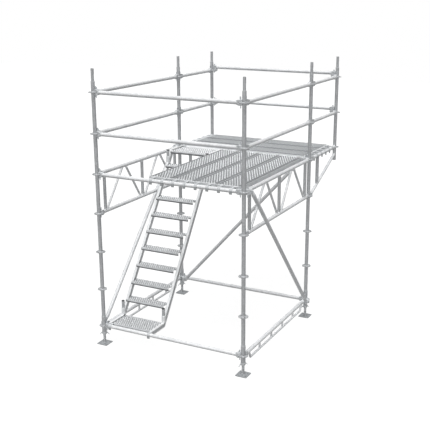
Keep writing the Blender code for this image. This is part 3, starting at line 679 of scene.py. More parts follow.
def level_tube(length, level):
    """The bare tube of a ledger along X, between its heads."""
    tube = round_bar((TUBE_START, 0, level), (length - TUBE_START, 0, level), TUBE_RADIUS, TUBE_SIDES)
    return painted(tube, galvanised_tube)


def headed_tube(length, level=0.0):
    """A tube along X with a head and wedge at each end."""
    near = Matrix.Translation((0, 0, level))
    return [level_tube(length, level)] + head_at(near) + head_at(turned_round(length, level))


def along_x(start, level):
    """Places a piece that starts on the standard of a place and runs to the right."""
    return upright("upper_standard_" + start, level)


def along_y(start, level):
    """Places a piece that starts on the standard of a place and runs to the rear."""
    return along_x(start, level) @ Matrix.Rotation(math.pi / 2, 4, "Z")


long_ledger = joined("long_ledger", *headed_tube(LEDGER_LENGTH))
short_ledger = joined("short_ledger", *headed_tube(LANDING_LENGTH))
raised_parts = [level_tube(LEDGER_LENGTH, RAISED_TUBE_LEVEL)]
wedge_lift = Matrix.Translation((0, 0, (RAISED_HEAD_FOOT + RAISED_HEAD_TOP) / 2))
for matrix in (Matrix.Identity(4), turned_round(LEDGER_LENGTH)):
    raised_parts += [repeated(raised_head, matrix), repeated(wedge, matrix @ wedge_lift)]
raised_rail = joined("raised_rail", *raised_parts)
ledgers = [
    ("base_ledger_front", long_ledger, along_x("front_left", BASE_RING)),
    ("base_ledger_rear", long_ledger, along_x("rear_left", BASE_RING)),
    ("deck_ledger_front", long_ledger, along_x("front_left", DECK_LEVEL)),
    ("deck_ledger_rear", long_ledger, along_x("rear_left", DECK_LEVEL)),
]
for rail, level in zip(("lower", "upper"), rail_rings):
    ledgers += [
        ("guard_rail_front_" + rail, long_ledger, along_x("front_left", level)),
        ("guard_rail_left_" + rail, long_ledger, along_y("front_left", level)),
        ("guard_rail_right_" + rail, long_ledger, along_y("front_right", level)),
        ("landing_rail_left_" + rail, short_ledger, along_y("rear_left", level)),
        ("landing_rail_right_" + rail, short_ledger, along_y("rear_right", level)),
        ("landing_rail_rear_" + rail, raised_rail, along_x("landing_left", level)),
    ]
for node, pattern, matrix in ledgers:
    finished(pattern, "wedged_" + node, matrix, "galvanised_tube", node)
discard(long_ledger, short_ledger, raised_rail, raised_head)


# Stiffened side ledgers
# The base ledgers of the left and right sides are stiffened by a thinner tube, welded on short
# spacers 100 mm below each, with its ends bent up to the ledger. It is dipped as one piece.
STIFFENER_RADIUS = 0.0145
STIFFENER_DROP = 0.100
STIFFENER_INSET = 0.200
STIFFENER_END_RISE = 0.050
STIFFENER_SPACERS = 4
SPACER_RADIUS = 0.01305
SPACER_BEAD_PLACE = 0.0185
ROD_SIDES = 18
BEAD_RADIUS = 0.0022


def weld_bead(point, direction, radius):
    """A rounded bead round a bar of the radius, where it meets another tube."""
    start_fresh()
    turn = Vector(direction).to_track_quat("Z", "Y").to_euler()
    bpy.ops.mesh.primitive_torus_add(major_segments=20, minor_segments=6, minor_radius=BEAD_RADIUS,
                                     major_radius=radius + BEAD_RADIUS / 2, location=point, rotation=turn)
    edit_all()
    select_faces(lambda middle, normal: True)
    bpy.ops.transform.vertex_random(offset=BEAD_RADIUS / 5, seed=3)
    return painted(leave_edit(60), galvanised_tube)


def welded_bar(start, end, radius, bead_place=TUBE_RADIUS, sides=ROD_SIDES, finish=galvanised_tube):
    """A bar from one chord's axis to another's, with a bead where it leaves each."""
    start = Vector(start)
    end = Vector(end)
    rod = painted(round_bar(start, end, radius, sides), finish)
    run = end - start
    leave = run.normalized() * bead_place / max(abs(run.normalized().z), 0.3)
    return [rod, weld_bead(start + leave, run, radius), weld_bead(end - leave, run, radius)]


def both_sides(pattern, name, node, start, level):
    """The pattern on the left and the right, from each side's standard to the rear."""
    for side in ("left", "right"):
        finished(pattern, name + side, along_y(start + side, level), "galvanised_tube", node + side)
    discard(pattern)


low_start = Vector((STIFFENER_INSET, 0, -STIFFENER_DROP))
low_end = Vector((LEDGER_LENGTH - STIFFENER_INSET, 0, -STIFFENER_DROP))
stiffened_parts = headed_tube(LEDGER_LENGTH)
for low, side in ((low_start, -1), (low_end, 1)):
    foot = low + Vector((side * STIFFENER_END_RISE, 0, STIFFENER_DROP))
    end_bar = painted(round_bar(foot, low, STIFFENER_RADIUS, ROD_SIDES), galvanised_tube)
    under_ledger = foot + (low - foot) * TUBE_RADIUS / STIFFENER_DROP
    end_bead = weld_bead(under_ledger, low - foot, STIFFENER_RADIUS)
    start_fresh()
    bpy.ops.mesh.primitive_uv_sphere_add(segments=18, ring_count=10, radius=STIFFENER_RADIUS, location=low)
    edit_all()
    elbow = painted(leave_edit(60), galvanised_tube)
    stiffened_parts += [end_bar, end_bead, elbow]
stiffened_parts.append(painted(round_bar(low_start, low_end, STIFFENER_RADIUS, ROD_SIDES), galvanised_tube))
spacing = (low_end.x - low_start.x) / (STIFFENER_SPACERS + 0.5)
first_spacer = (low_start.x + low_end.x - spacing * (STIFFENER_SPACERS - 1)) / 2
for number in range(STIFFENER_SPACERS):
    x = first_spacer + number * spacing
    stiffened_parts += welded_bar((x, 0, 0), (x, 0, -STIFFENER_DROP), SPACER_RADIUS, SPACER_BEAD_PLACE)
stiffened_ledger = joined("stiffened_ledger", *stiffened_parts)
both_sides(stiffened_ledger, "braced_ledger_", "base_ledger_", "front_", BASE_RING)


# Lattice girders
# Each side of the deck hangs on a girder half a metre deep: two tubes with heads, welded to three
# posts and four slanting bars of thinner tube. All joints are welded all round, then dipped.
GIRDER_DEPTH = 0.500
GIRDER_POST_RADIUS = 0.020
GIRDER_POST_INSET = 0.145
GIRDER_BAR_RADIUS = 0.015
GIRDER_FOOT_INSET = 0.166
GIRDER_CREST = 0.583
GIRDER_CREST_GAP = 0.054
GIRDER_MIDDLE_GAP = 0.096

girder_parts = headed_tube(LEDGER_LENGTH) + headed_tube(LEDGER_LENGTH, GIRDER_DEPTH)
middle = LEDGER_LENGTH / 2
for x in (GIRDER_POST_INSET, middle, LEDGER_LENGTH - GIRDER_POST_INSET):
    # The posts stand upright and take the darker grey of painted shade
    girder_parts += welded_bar((x, 0, 0), (x, 0, GIRDER_DEPTH), GIRDER_POST_RADIUS, finish=upright_shade_tube)
slants = [(GIRDER_FOOT_INSET, GIRDER_CREST - GIRDER_CREST_GAP / 2),
          (middle - GIRDER_MIDDLE_GAP / 2, GIRDER_CREST + GIRDER_CREST_GAP / 2)]
for foot, crest in slants:
    for foot_x, crest_x in ((foot, crest), (LEDGER_LENGTH - foot, LEDGER_LENGTH - crest)):
        girder_parts += welded_bar((foot_x, 0, 0), (crest_x, 0, GIRDER_DEPTH), GIRDER_BAR_RADIUS)
girder = joined("girder", *girder_parts)
both_sides(girder, "welded_girder_", "lattice_girder_", "front_", DECK_LEVEL - GIRDER_DEPTH)


# Landing brackets
# The landing sticks out a metre behind the tower on two brackets. Each has a tube with a head at
# deck level, a slanting strut to the ring below, a short web, and an end post with a ring and a
# spigot, so that another standard fits on it.
POST_FOOT = -0.190
POST_TOP = 0.130
POST_BORE_TOP = -0.060
CHORD_RADIUS = 0.99 * TUBE_RADIUS
STRUT_RADIUS = 0.020
STRUT_SIDES = 24
STRUT_MEETS = -0.100
WEB_RADIUS = 0.0225
WEB_PLACE = 0.310
WEB_BEAD_PLACE = 0.0225

bracket_parts = head_at(Matrix.Identity(4)) + head_at(Matrix.Translation((0, 0, -RING_SPACING)))
raised_circle([(TUBE_RADIUS - TUBE_WALL, POST_BORE_TOP), (TUBE_RADIUS - TUBE_WALL, POST_FOOT),
               (TUBE_RADIUS, POST_FOOT)] + tube_steps(POST_FOOT, POST_TOP, TUBE_RADIUS, [0])[1:]
              + [(SPIGOT_RADIUS, POST_TOP)], TUBE_SIDES)
bracket_post = shade_painted_standard("bracket_post", outward(), [0])
bracket_post.data.transform(Matrix.Translation((LANDING_LENGTH, 0, 0)))
top_chord = painted(round_bar((TUBE_START, 0, 0), (LANDING_LENGTH, 0, 0), CHORD_RADIUS, TUBE_SIDES),
                    galvanised_tube)
chord_bead = weld_bead((LANDING_LENGTH - TUBE_RADIUS - 0.001, 0, 0), (1, 0, 0), TUBE_RADIUS)
strut_start = Vector((TUBE_START, 0, -RING_SPACING))
strut_end = Vector((LANDING_LENGTH, 0, STRUT_MEETS))
strut = painted(round_bar(strut_start, strut_end, STRUT_RADIUS, STRUT_SIDES), galvanised_tube)
strut_run = (strut_end - strut_start).normalized()
strut_bead = weld_bead(strut_end - strut_run * (TUBE_RADIUS + 0.004), strut_run, STRUT_RADIUS)
web_foot = strut_start + strut_run * (WEB_PLACE - TUBE_START) / strut_run.x
# The web stands upright and takes the darker grey of painted shade
web_parts = welded_bar(web_foot, (WEB_PLACE, 0, 0), WEB_RADIUS, WEB_BEAD_PLACE, STRUT_SIDES, upright_shade_tube)
bracket = joined("bracket", bracket_post, top_chord, chord_bead, strut, strut_bead, *web_parts,
                 *bracket_parts)
both_sides(bracket, "welded_bracket_", "landing_bracket_", "rear_", DECK_LEVEL)


# Diagonal braces
# A tube whose ends are pressed flat and bolted to a head in the ring's corner hole. It keeps the
# bay square, and lies just beside the standards' plane, so its ends turn in to the rings.
BRACE_OFFSET = 0.050
BRACE_END_INSET = 0.0925
BRACE_RISE = 2.0
TONGUE_LENGTH = 0.085
# Each step of a pressed end: metres on, and what its width and thickness are multiplied by
PRESSED_STEPS = ((0.022, 1.08, 0.72), (0.020, 1.10, 0.55), (0.016, 1.03, 0.76), (0.042, 1.0, 1.0),
                 (0.012, 0.92, 1.0), (0.005, 0.55, 1.0))
BOLT_RADIUS = 0.010
BOLT_HALF_LENGTH = 0.017
# How far the heads' outer corners reach from the line of the rings
HEAD_OUTER_FACE = 0.0785

brace_angle = math.atan2(BRACE_RISE, LEDGER_LENGTH - 2 * BRACE_END_INSET)
half_run = Vector((LEDGER_LENGTH - 2 * BRACE_END_INSET, 0, BRACE_RISE)).length / 2


def pressed_brace(side):
    """A brace from a base ring to a deck ring; side is the Y side that its tube runs on."""
    start_fresh()
    bpy.ops.mesh.primitive_circle_add(vertices=24, radius=TUBE_RADIUS, fill_type="NOTHING")
    edit_all()
    for way in (1, -1):
        if way == -1:
            select_points(lambda point: point.length < TUBE_RADIUS * 1.01)
        drawn((0, 0, way * (half_run - TONGUE_LENGTH)))
        for on, spread, flat in PRESSED_STEPS:
            drawn((0, 0, way * on))
            bpy.ops.transform.resize(value=(spread, flat, 1))
        bpy.ops.mesh.edge_face_add()
    tube = painted(outward(40), galvanised_tube)
    middle_place = Matrix.Translation((LEDGER_LENGTH / 2, side * BRACE_OFFSET, BRACE_RISE / 2))
    tube.data.transform(middle_place @ Matrix.Rotation(math.pi / 2 - brace_angle, 4, "Y"))
    parts = [tube]
    head_turn = Matrix.Rotation(side * math.pi / 4, 4, "Z")
    far_turn = Matrix.Translation((LEDGER_LENGTH, 0, BRACE_RISE)) @ Matrix.Rotation(math.pi, 4, "Y")
    upside_down = Matrix.Rotation(math.pi, 4, "X")
    for matrix, wedge_turn in ((Matrix.Identity(4), Matrix.Identity(4)), (far_turn, upside_down)):
        flush_head = repeated(head, matrix @ head_turn)
        for point in flush_head.data.vertices:
            point.co.y = side * min(side * point.co.y, HEAD_OUTER_FACE)
        bolt_place = matrix @ Vector((BRACE_END_INSET, side * BRACE_OFFSET, 0))
        half = Vector((0, BOLT_HALF_LENGTH, 0))
        bolt = bevelled(round_bar(bolt_place - half, bolt_place + half, BOLT_RADIUS, 16), 0.002, 2)
        parts += [flush_head, repeated(wedge, matrix @ head_turn @ wedge_turn), painted(bolt, wedge_zinc)]
    return joined("brace", *parts)


side_brace = pressed_brace(1)
rear_brace = pressed_brace(-1)
facing_front = Matrix.Rotation(-math.pi / 2, 4, "Z")
for node, pattern, matrix in (
        ("brace_left", side_brace, along_y("front_left", BASE_RING)),
        ("brace_right", side_brace, along_x("rear_right", BASE_RING) @ facing_front),
        ("brace_rear", rear_brace, along_x("rear_left", BASE_RING))):
    finished(pattern, "pressed_" + node, matrix, "galvanised_tube", node)
discard(side_brace, rear_brace, head, wedge, ring_plate)


# Steel planks
# Planks 300 mm wide are rolled from strip that was galvanised in the mill. The top is punched all
# over with collared holes for grip, in staggered rows, and the sides fold down to a turned-in lip.
# A plate with two forged claws is welded across each end, and the claws hook over the tube.
PLANK_WIDTH = 0.300
PLANK_TOP = 0.035
PLANK_DEPTH = 0.060
PLANK_SHEET = 0.0025
PLANK_LIP = 0.014
PLANK_END_INSET = 0.070
PLANK_END_PLATE = 0.005
FOLD_RADIUS = 0.007
HOLE_PITCH = 0.0336
PLANK_COLUMNS = 7
PLANK_ROW_PAIRS = 27
HOLE_SIDES = 12
COLLAR_STEPS = ((0.0092, 0.0018), (0.0078, 0.0), (0.0068, -0.0040))
COLLAR_START = 0.0106
COLLAR_DROP = 0.0045
CLAW_SPACING = 0.152
CLAW_WIDTH = 0.036
CLAW_TOP = 0.0335
CLAW_SEAT = 0.0245
CLAW_JAW = 0.0075
CLAW_DROP = 0.016
CLAW_OUTER_DROP = 0.038
CLAW_WRAP_STEPS = 8
CLAW_EDGE = 0.0016
ARM_THICKNESS = 0.012
ARM_START_SHARE = 0.55
ARM_SLANT = 0.004
WEB_BELOW_ARM_TOP = 0.008
END_PLATE_EDGE = 0.001
# How near two places count as the same
NEAR = 0.0001

# Strip-galvanised sheet: the mill's zinc has flat spangles about 8 mm across, scuffed in patches of
# 90 mm. Dirt darkens the top between the collars, and the collars are painted bright: a painted
# highlight for their raised rims catching the light, weaker on the landing. The end of each claw,
# which hangs outside the ledger, is painted darker: painted shade, as it hangs in the tube's shadow.
STRIP_TONES = ("#d2d4d6", "#e4e6e8")
WALKED_TONES = ("#6a6d6f", "#7a7d80")
CLAW_HOOK_SHADE_TONES = ("#96999b", "#acafb1")
LANDING_COLLAR_HIGHLIGHT_TONES = ("#aeb1b3", "#c0c3c5")
DECK_COLLAR_HIGHLIGHT_TONES = ("#d2d4d6", "#e2e4e6")
STRIP_SPANGLE = 0.008
SCUFF_SIZE = 0.09


def spangled(tree, dark, light):
    scuff = noise(tree, SCUFF_SIZE, 6.0, 0.65)
    both = share_added(tree, 0.4, flakes(tree, STRIP_SPANGLE, "Green"), scuff)
    return {"Base Color": two_tones(tree, both, 0.45, 0.95, dark, light),
            "Roughness": ranged(tree, both, 0.4, 1.0, 0.36, 0.52)}


strip_sheet = toned("strip_galvanised_sheet", spangled, STRIP_TONES, 0.2)
walked_top = toned("walked_galvanised_sheet", spangled, WALKED_TONES, 0.2)
# The claw's hanging end is painted darker: painted shade beneath the tube
claw_hook_shade = toned("forged_claw_hook_painted_shade", cast_zinc, CLAW_HOOK_SHADE_TONES, 0.15, 0.3)
# The collars are painted lighter than the top: a painted highlight, weaker on the landing
landing_collar_highlight = toned("landing_zinc_collar_painted_highlight", spangled, LANDING_COLLAR_HIGHLIGHT_TONES, 0.2)
deck_collar_highlight = toned("zinc_collar_painted_highlight", spangled, DECK_COLLAR_HIGHLIGHT_TONES, 0.2)


def arrayed(body, count, step):
    """The body repeated in a row, with the copies joined where they touch."""
    start_fresh()
    bpy.context.view_layer.objects.active = body
    row = body.modifiers.new("row", "ARRAY")
    row.count = count
    row.use_relative_offset = False
    row.use_constant_offset = True
    row.constant_offset_displace = step
    row.use_merge_vertices = True
    row.merge_threshold = NEAR
    bpy.ops.object.modifier_apply(modifier="row")
    return body


def reopened(body):
    """A finished body back in edit mode, nothing selected."""
    start_fresh()
    body.select_set(True)
    bpy.context.view_layer.objects.active = body
    bpy.ops.object.mode_set(mode="EDIT")
    bpy.ops.mesh.select_all(action="DESELECT")


def drawn_out(wanted, *steps):
    """Extrudes the chosen rim of an open sheet through the steps."""
    select_points(wanted)
    drawn(*steps)


def punched_sheet(columns, row_pairs, row_pitch, column_pitch):
    """A flat sheet of collared holes in staggered rows, centred on its row of columns along Y."""
    start_fresh()
    bpy.ops.mesh.primitive_grid_add(x_subdivisions=2, y_subdivisions=2, size=1)
    edit_all()
    bpy.ops.transform.resize(value=(row_pitch, column_pitch, 1), center_override=(0, 0, 0))
    select_points(lambda point: point.xy.length < COLLAR_START)
    bpy.ops.mesh.delete(type="VERT")
    bpy.ops.mesh.primitive_circle_add(vertices=HOLE_SIDES, radius=COLLAR_START, fill_type="NOTHING")
    bpy.ops.mesh.select_all(action="SELECT")
    bpy.ops.mesh.bridge_edge_loops()
    select_points(lambda point: point.xy.length < COLLAR_START * 1.01)
    rim_through(COLLAR_START, 0.0, COLLAR_STEPS)
    cell = leave_edit(25)
    other_cell = repeated(cell, Matrix.Translation((row_pitch, column_pitch / 2, 0)))
    arrayed(cell, columns, (0, column_pitch, 0))
    arrayed(other_cell, columns - 1, (0, column_pitch, 0))
    pair = joined("pair", cell, other_cell)
    reopened(pair)
    inner_edge = (columns - 1) * column_pitch
    for edge, step in ((0.0, -column_pitch / 2), (inner_edge, column_pitch / 2)):
        drawn_out(lambda point: abs(point.y - edge) < NEAR and point.x > row_pitch * 0.49
                  and point.z > -NEAR, (0, step, 0))
    bpy.ops.mesh.select_all(action="SELECT")
    bpy.ops.mesh.remove_doubles(threshold=NEAR)
    bpy.ops.object.mode_set(mode="OBJECT")
    pair.data.transform(Matrix.Translation((row_pitch / 2, -inner_edge / 2, 0)))
    return arrayed(pair, row_pairs, (2 * row_pitch, 0, 0))


def up_and_painted(sheet, rows, half_columns, top_finish, collar_highlight_finish, side_finish):
    """Turns a sheet's top upwards and paints its top, the collars of its holes, and its sides."""
    flat = [face for face in sheet.data.polygons if abs(face.center.z) < NEAR]
    if sum(face.normal.z * face.area for face in flat) < 0:
        sheet.data.flip_normals()
    painted(sheet, top_finish, collar_highlight_finish, side_finish)
    for face in sheet.data.polygons:
        in_rows = 0 < face.center.x < rows and abs(face.center.y) < half_columns
        # The collars' walls take the second finish, a painted highlight
        if in_rows and 3 * NEAR < abs(face.center.z) < COLLAR_DROP:
            face.material_index = 1
        elif face.center.z < -COLLAR_DROP or not 0 < face.center.x < rows:
            face.material_index = 2
    return sheet


rows_length = 2 * PLANK_ROW_PAIRS * HOLE_PITCH
end_margin = (LEDGER_LENGTH - 2 * PLANK_END_INSET - rows_length) / 2
rows_half_width = PLANK_COLUMNS * HOLE_PITCH / 2
plank_half = PLANK_WIDTH / 2
reopened(punched_sheet(PLANK_COLUMNS, PLANK_ROW_PAIRS, HOLE_PITCH, HOLE_PITCH))
drawn_out(lambda point: point.x < NEAR, (-end_margin, 0, 0))
drawn_out(lambda point: point.x > rows_length - NEAR, (end_margin, 0, 0))
for side in (-1, 1):
    drawn_out(lambda point: side * point.y > rows_half_width - NEAR,
              (0, side * (plank_half - FOLD_RADIUS - rows_half_width), 0),
              (0, side * FOLD_RADIUS * 0.7, -FOLD_RADIUS * 0.3),
              (0, side * FOLD_RADIUS * 0.3, -FOLD_RADIUS * 0.7),
              (0, 0, -PLANK_DEPTH + 1.8 * FOLD_RADIUS),
              (0, -side * FOLD_RADIUS * 0.8, -FOLD_RADIUS * 0.8),
              (0, -side * (PLANK_LIP - FOLD_RADIUS * 0.8), 0),
              (0, 0, PLANK_SHEET),
              (0, side * (PLANK_LIP - PLANK_SHEET), 0),
              (0, 0, PLANK_DEPTH - 2 * PLANK_SHEET))
plank_sheet = up_and_painted(outward(30), rows_length, rows_half_width,
                             walked_top, deck_collar_highlight, strip_sheet)
plank_sheet.data.transform(Matrix.Translation((PLANK_END_INSET + end_margin, 0, PLANK_TOP)))


def lay_round_tube(turn, reach):
    """Lays the selected end of a claw along the radius at the angle round the tube."""
    bm = bmesh.from_edit_mesh(bpy.context.edit_object.data)
    chosen = [point for point in bm.verts if point.select]
    chosen.sort(key=lambda point: math.hypot(point.co.x, point.co.z))
    for rank, point in enumerate(chosen):
        radius = reach - CLAW_JAW / 2 if rank < 2 else reach + CLAW_JAW / 2
        point.co.x = radius * math.cos(turn)
        point.co.z = radius * math.sin(turn)
    bmesh.update_edit_mesh(bpy.context.edit_object.data)


def hooked_claw(middle, arm_end, arm_top):
    """A forged claw over a tube along Y at the origin, with its arm back to arm_end along X."""
    low = middle - CLAW_WIDTH / 2
    high = middle + CLAW_WIDTH / 2
    reach = CLAW_SEAT + CLAW_JAW / 2
    block((CLAW_SEAT, low, -CLAW_DROP), (CLAW_SEAT + CLAW_JAW, high, 0))
    select_faces(lambda place, normal: normal.z > 0.9)
    for number in range(1, CLAW_WRAP_STEPS + 1):
        before = (number - 1) * math.pi / CLAW_WRAP_STEPS
        now = number * math.pi / CLAW_WRAP_STEPS
        drawn((reach * (math.cos(now) - math.cos(before)), 0, reach * (math.sin(now) - math.sin(before))))
        lay_round_tube(now, reach)
    drawn((0, 0, -CLAW_OUTER_DROP))
    hook = bevelled(outward(50), CLAW_EDGE, 2, 40)
    block((CLAW_SEAT * ARM_START_SHARE, low, arm_top - ARM_THICKNESS), (arm_end, high, arm_top))
    select_points(lambda point: point.x < CLAW_SEAT and point.z < arm_top - ARM_THICKNESS / 2)
    bpy.ops.transform.translate(value=(ARM_SLANT, 0, ARM_SLANT))
    arm = bevelled(outward(), ROUNDED_EDGE, 2)
    block((CLAW_SEAT, low, -CLAW_DROP), (arm_end, high, arm_top - WEB_BELOW_ARM_TOP))
    web = bevelled(outward(), ROUNDED_EDGE, 2)
    claw = painted(joined("claw", hook, arm, web), galvanised_casting, claw_hook_shade)
    # Faces below the jaw take the painted shade of the hook's end
    for face in claw.data.polygons:
        face.material_index = 1 if face.center.z < -CLAW_DROP else 0
    return claw


plank_ends = []
plate_end = PLANK_END_INSET + PLANK_END_PLATE
for matrix in (Matrix.Identity(4), turned_round(LEDGER_LENGTH)):
    block((PLANK_END_INSET, -plank_half + PLANK_SHEET, PLANK_TOP - PLANK_DEPTH + END_PLATE_EDGE),
          (plate_end, plank_half - PLANK_SHEET, PLANK_TOP - END_PLATE_EDGE))
    end_parts = [painted(bevelled(outward(), END_PLATE_EDGE, 1), strip_sheet)]
    for side in (-1, 1):
        end_parts.append(hooked_claw(side * CLAW_SPACING / 2, plate_end, CLAW_TOP))
    for part in end_parts:
        part.data.transform(matrix)
    plank_ends += end_parts
plank = joined("plank", plank_sheet, *plank_ends)


def plank_place(node):
    """Where a plank's CAD node lies: the middle line of its width, from its first ledger's axis."""
    low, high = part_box(node)
    middle_of_box = (low + high) / 2
    if node.startswith("deck"):
        run = along_y("front_left", DECK_LEVEL)
        return Matrix.Translation((middle_of_box.x - run.translation.x, 0, 0)) @ run
    run = along_x("rear_left", DECK_LEVEL)
    return Matrix.Translation((0, middle_of_box.y - run.translation.y, 0)) @ run


landing_plank = repeated(plank, Matrix.Identity(4))
# The landing's planks take the weaker painted highlight on their collars
highlight_slot = list(landing_plank.data.materials).index(deck_collar_highlight)
landing_plank.data.materials[highlight_slot] = landing_collar_highlight
for pattern, kind, count in ((plank, "deck_plank_", 4), (landing_plank, "landing_plank_", 3)):
    for number in range(1, count + 1):
        node = kind + str(number)
        finished(pattern, "punched_" + node, plank_place(node), "galvanised_sheet", node)
discard(plank, landing_plank)


# Stair stringers
# Two aluminium box extrusions of 35 by 60 mm, mitred and welded at the foot and the head, with a
# shallow channel pressed along each side. Each hooks over a ledger with a forged claw at both ends
# and has two sockets with tube stubs for a handrail, closed with black plastic caps.
STRINGER_DEPTH = 0.060
STRINGER_WIDTH = 0.035
STAIR_END_GAP = 0.030
STAIR_CLAW_LAP = 0.015
STAIR_CLAW_TOP = 0.0295
FOOT_CLAW_LEVEL = 0.250
FOOT_LEVEL = 0.255
FOOT_BEND = 0.330
HEAD_BEND = 0.335
CHANNEL_EDGE = 0.010
CHANNEL_DEPTH = 0.0014
CHANNEL_HALF = 0.020
STUB_RADIUS = 0.0195
FOOT_STUB_PLACE = 0.345
FOOT_STUB_TOP = 0.482
HEAD_STUB_FROM_REAR = 0.440
HEAD_STUB_TOP = 2.290
SOCKET_RADIUS = 0.0255
SOCKET_HEIGHT = 0.050
SOCKET_SUNK = 0.004
SOCKET_EDGE = 0.002
CAP_HEIGHT = 0.010
# The cap's radius, and how far below its top
CAP_PROFILE = ((0.0199, CAP_HEIGHT), (0.0199, 0.003), (0.0175, 0.0006), (0.0135, 0), (0.004, 0))

# Mill-finish extruded aluminium: pale and satin, with faint die lines along the length, handled in
# patches of 160 mm. The lines are drawn 1.5 mm apart, coarser than real, so that they show. The
# channels in the sides and the upright stubs are painted darker: painted shade, as they face
# sideways to the light from above.
MILL_TONES = ("#e8eaeb", "#f0f1f2")
SIDE_SHADE_TONES = ("#acaeb0", "#c0c2c4")
DIE_LINE = 0.0015
HANDLED_SIZE = 0.16
# Black polyethylene: moulded end caps, slightly glossy, with a fine even skin
CAP_TONES = ("#141516", "#202224")
CAP_GRAIN = 0.0012

front = upright("lower_standard_front_left").translation.y
rear = upright("lower_standard_rear_left").translation.y
foot_bend_y = front + FOOT_BEND
head_bend_y = rear - HEAD_BEND
slope = (DECK_LEVEL - FOOT_LEVEL) / (head_bend_y - foot_bend_y)
stair_angle = math.atan(slope)


def die_lines(tree, dark, light):
    along = add_node(tree, "ShaderNodeMapping", {"Rotation": (-stair_angle, 0, 0), "Scale": (1, 0.01, 1)},
                     {"Vector": place_on(tree)}).outputs["Vector"]
    lines = noise(tree, DIE_LINE, 1.0, place=along)
    both = share_added(tree, 0.4, lines, noise(tree, HANDLED_SIZE, 4.0))
    return {"Base Color": two_tones(tree, both, 0.5, 0.9, dark, light),
            "Roughness": ranged(tree, both, 0.4, 1.0, 0.32, 0.48)}


def moulded_skin(tree):
    skin = noise(tree, CAP_GRAIN, 2.0)
    return {"Base Color": two_tones(tree, skin, 0.3, 0.7, *CAP_TONES),
            "Normal": bumped(tree, skin, 0.15, 0.0003)}


mill_aluminium = toned("mill_finish_extrusion", die_lines, MILL_TONES, 0.2, 0.3)
# Sides and upright stubs are painted darker: painted shade
side_shade_aluminium = toned("extrusion_side_painted_shade", die_lines, SIDE_SHADE_TONES, 0.2, 0.3)
black_cap = shaded("black_polyethylene", {"Roughness": 0.42}, moulded_skin)


def centre_level(y):
    """Height of the stringer's centre line above a place along the flight."""
    if y < foot_bend_y:
        return FOOT_LEVEL
    return min(FOOT_LEVEL + (y - foot_bend_y) * slope, DECK_LEVEL)


def mitred_band(x_low, x_high):
    """A box extrusion bent up at the foot and level again at the head, with a channel in each side."""
    half = STRINGER_DEPTH / 2
    mitre = half * math.tan(stair_angle / 2)
    end_y = rear - STAIR_END_GAP
    block((x_low, front + STAIR_END_GAP, FOOT_LEVEL - half), (x_high, foot_bend_y, FOOT_LEVEL + half))
    for above, move in ((True, -mitre), (False, mitre)):
        select_points(lambda point: abs(point.y - foot_bend_y) < NEAR and (point.z > FOOT_LEVEL) == above)
        bpy.ops.transform.translate(value=(0, move, 0))
    select_faces(lambda place, normal: place.y > foot_bend_y - 0.01 and normal.y > 0.3)
    drawn((0, head_bend_y - foot_bend_y, DECK_LEVEL - FOOT_LEVEL), (0, end_y - head_bend_y, 0))
    bm = bmesh.from_edit_mesh(bpy.context.edit_object.data)
    for point in bm.verts:
        if point.select:
            point.co.y = end_y
    bmesh.update_edit_mesh(bpy.context.edit_object.data)
    select_faces(lambda place, normal: abs(normal.x) > 0.9)
    bpy.ops.mesh.inset(thickness=CHANNEL_EDGE, use_boundary=True)
    for side in (-1, 1):
        select_faces(lambda place, normal: normal.x * side > 0.9
                     and abs(place.z - centre_level(place.y)) < CHANNEL_HALF)
        bpy.ops.mesh.inset(thickness=CHANNEL_DEPTH)
        bpy.ops.transform.translate(value=(-side * CHANNEL_DEPTH, 0, 0))
    band = painted(bevelled(outward(), ROUNDED_EDGE, 2, 40), mill_aluminium, side_shade_aluminium)
    middle_x = (x_low + x_high) / 2
    # The sunk channels in the sides take the painted shade
    for face in band.data.polygons:
        sunk = abs(face.center.x - middle_x) < STRINGER_WIDTH / 2 - CHANNEL_DEPTH * 0.9
        face.material_index = 1 if abs(face.normal.x) > 0.9 and sunk else 0
    return band


def socketed_stub(x, y, foot, top):
    """A socket welded on the slope with the tube stub in it, and the stub's cap."""
    socket_top = foot + SOCKET_HEIGHT
    raised_circle([(SOCKET_RADIUS, foot - SOCKET_RADIUS * slope - SOCKET_SUNK),
                   (SOCKET_RADIUS, socket_top - SOCKET_EDGE), (SOCKET_RADIUS - SOCKET_EDGE, socket_top),
                   (STUB_RADIUS, socket_top), (STUB_RADIUS, top - CAP_HEIGHT)])
    tube = painted(outward(), mill_aluminium, side_shade_aluminium)
    # The stub above its socket takes the painted shade
    for face in tube.data.polygons:
        face.material_index = 1 if face.center.z > socket_top + 0.001 else 0
    raised_circle([(radius, top - below) for radius, below in CAP_PROFILE])
    cap = painted(outward(60), black_cap)
    for body in (tube, cap):
        body.data.transform(Matrix.Translation((x, y, 0)))
    return tube, cap


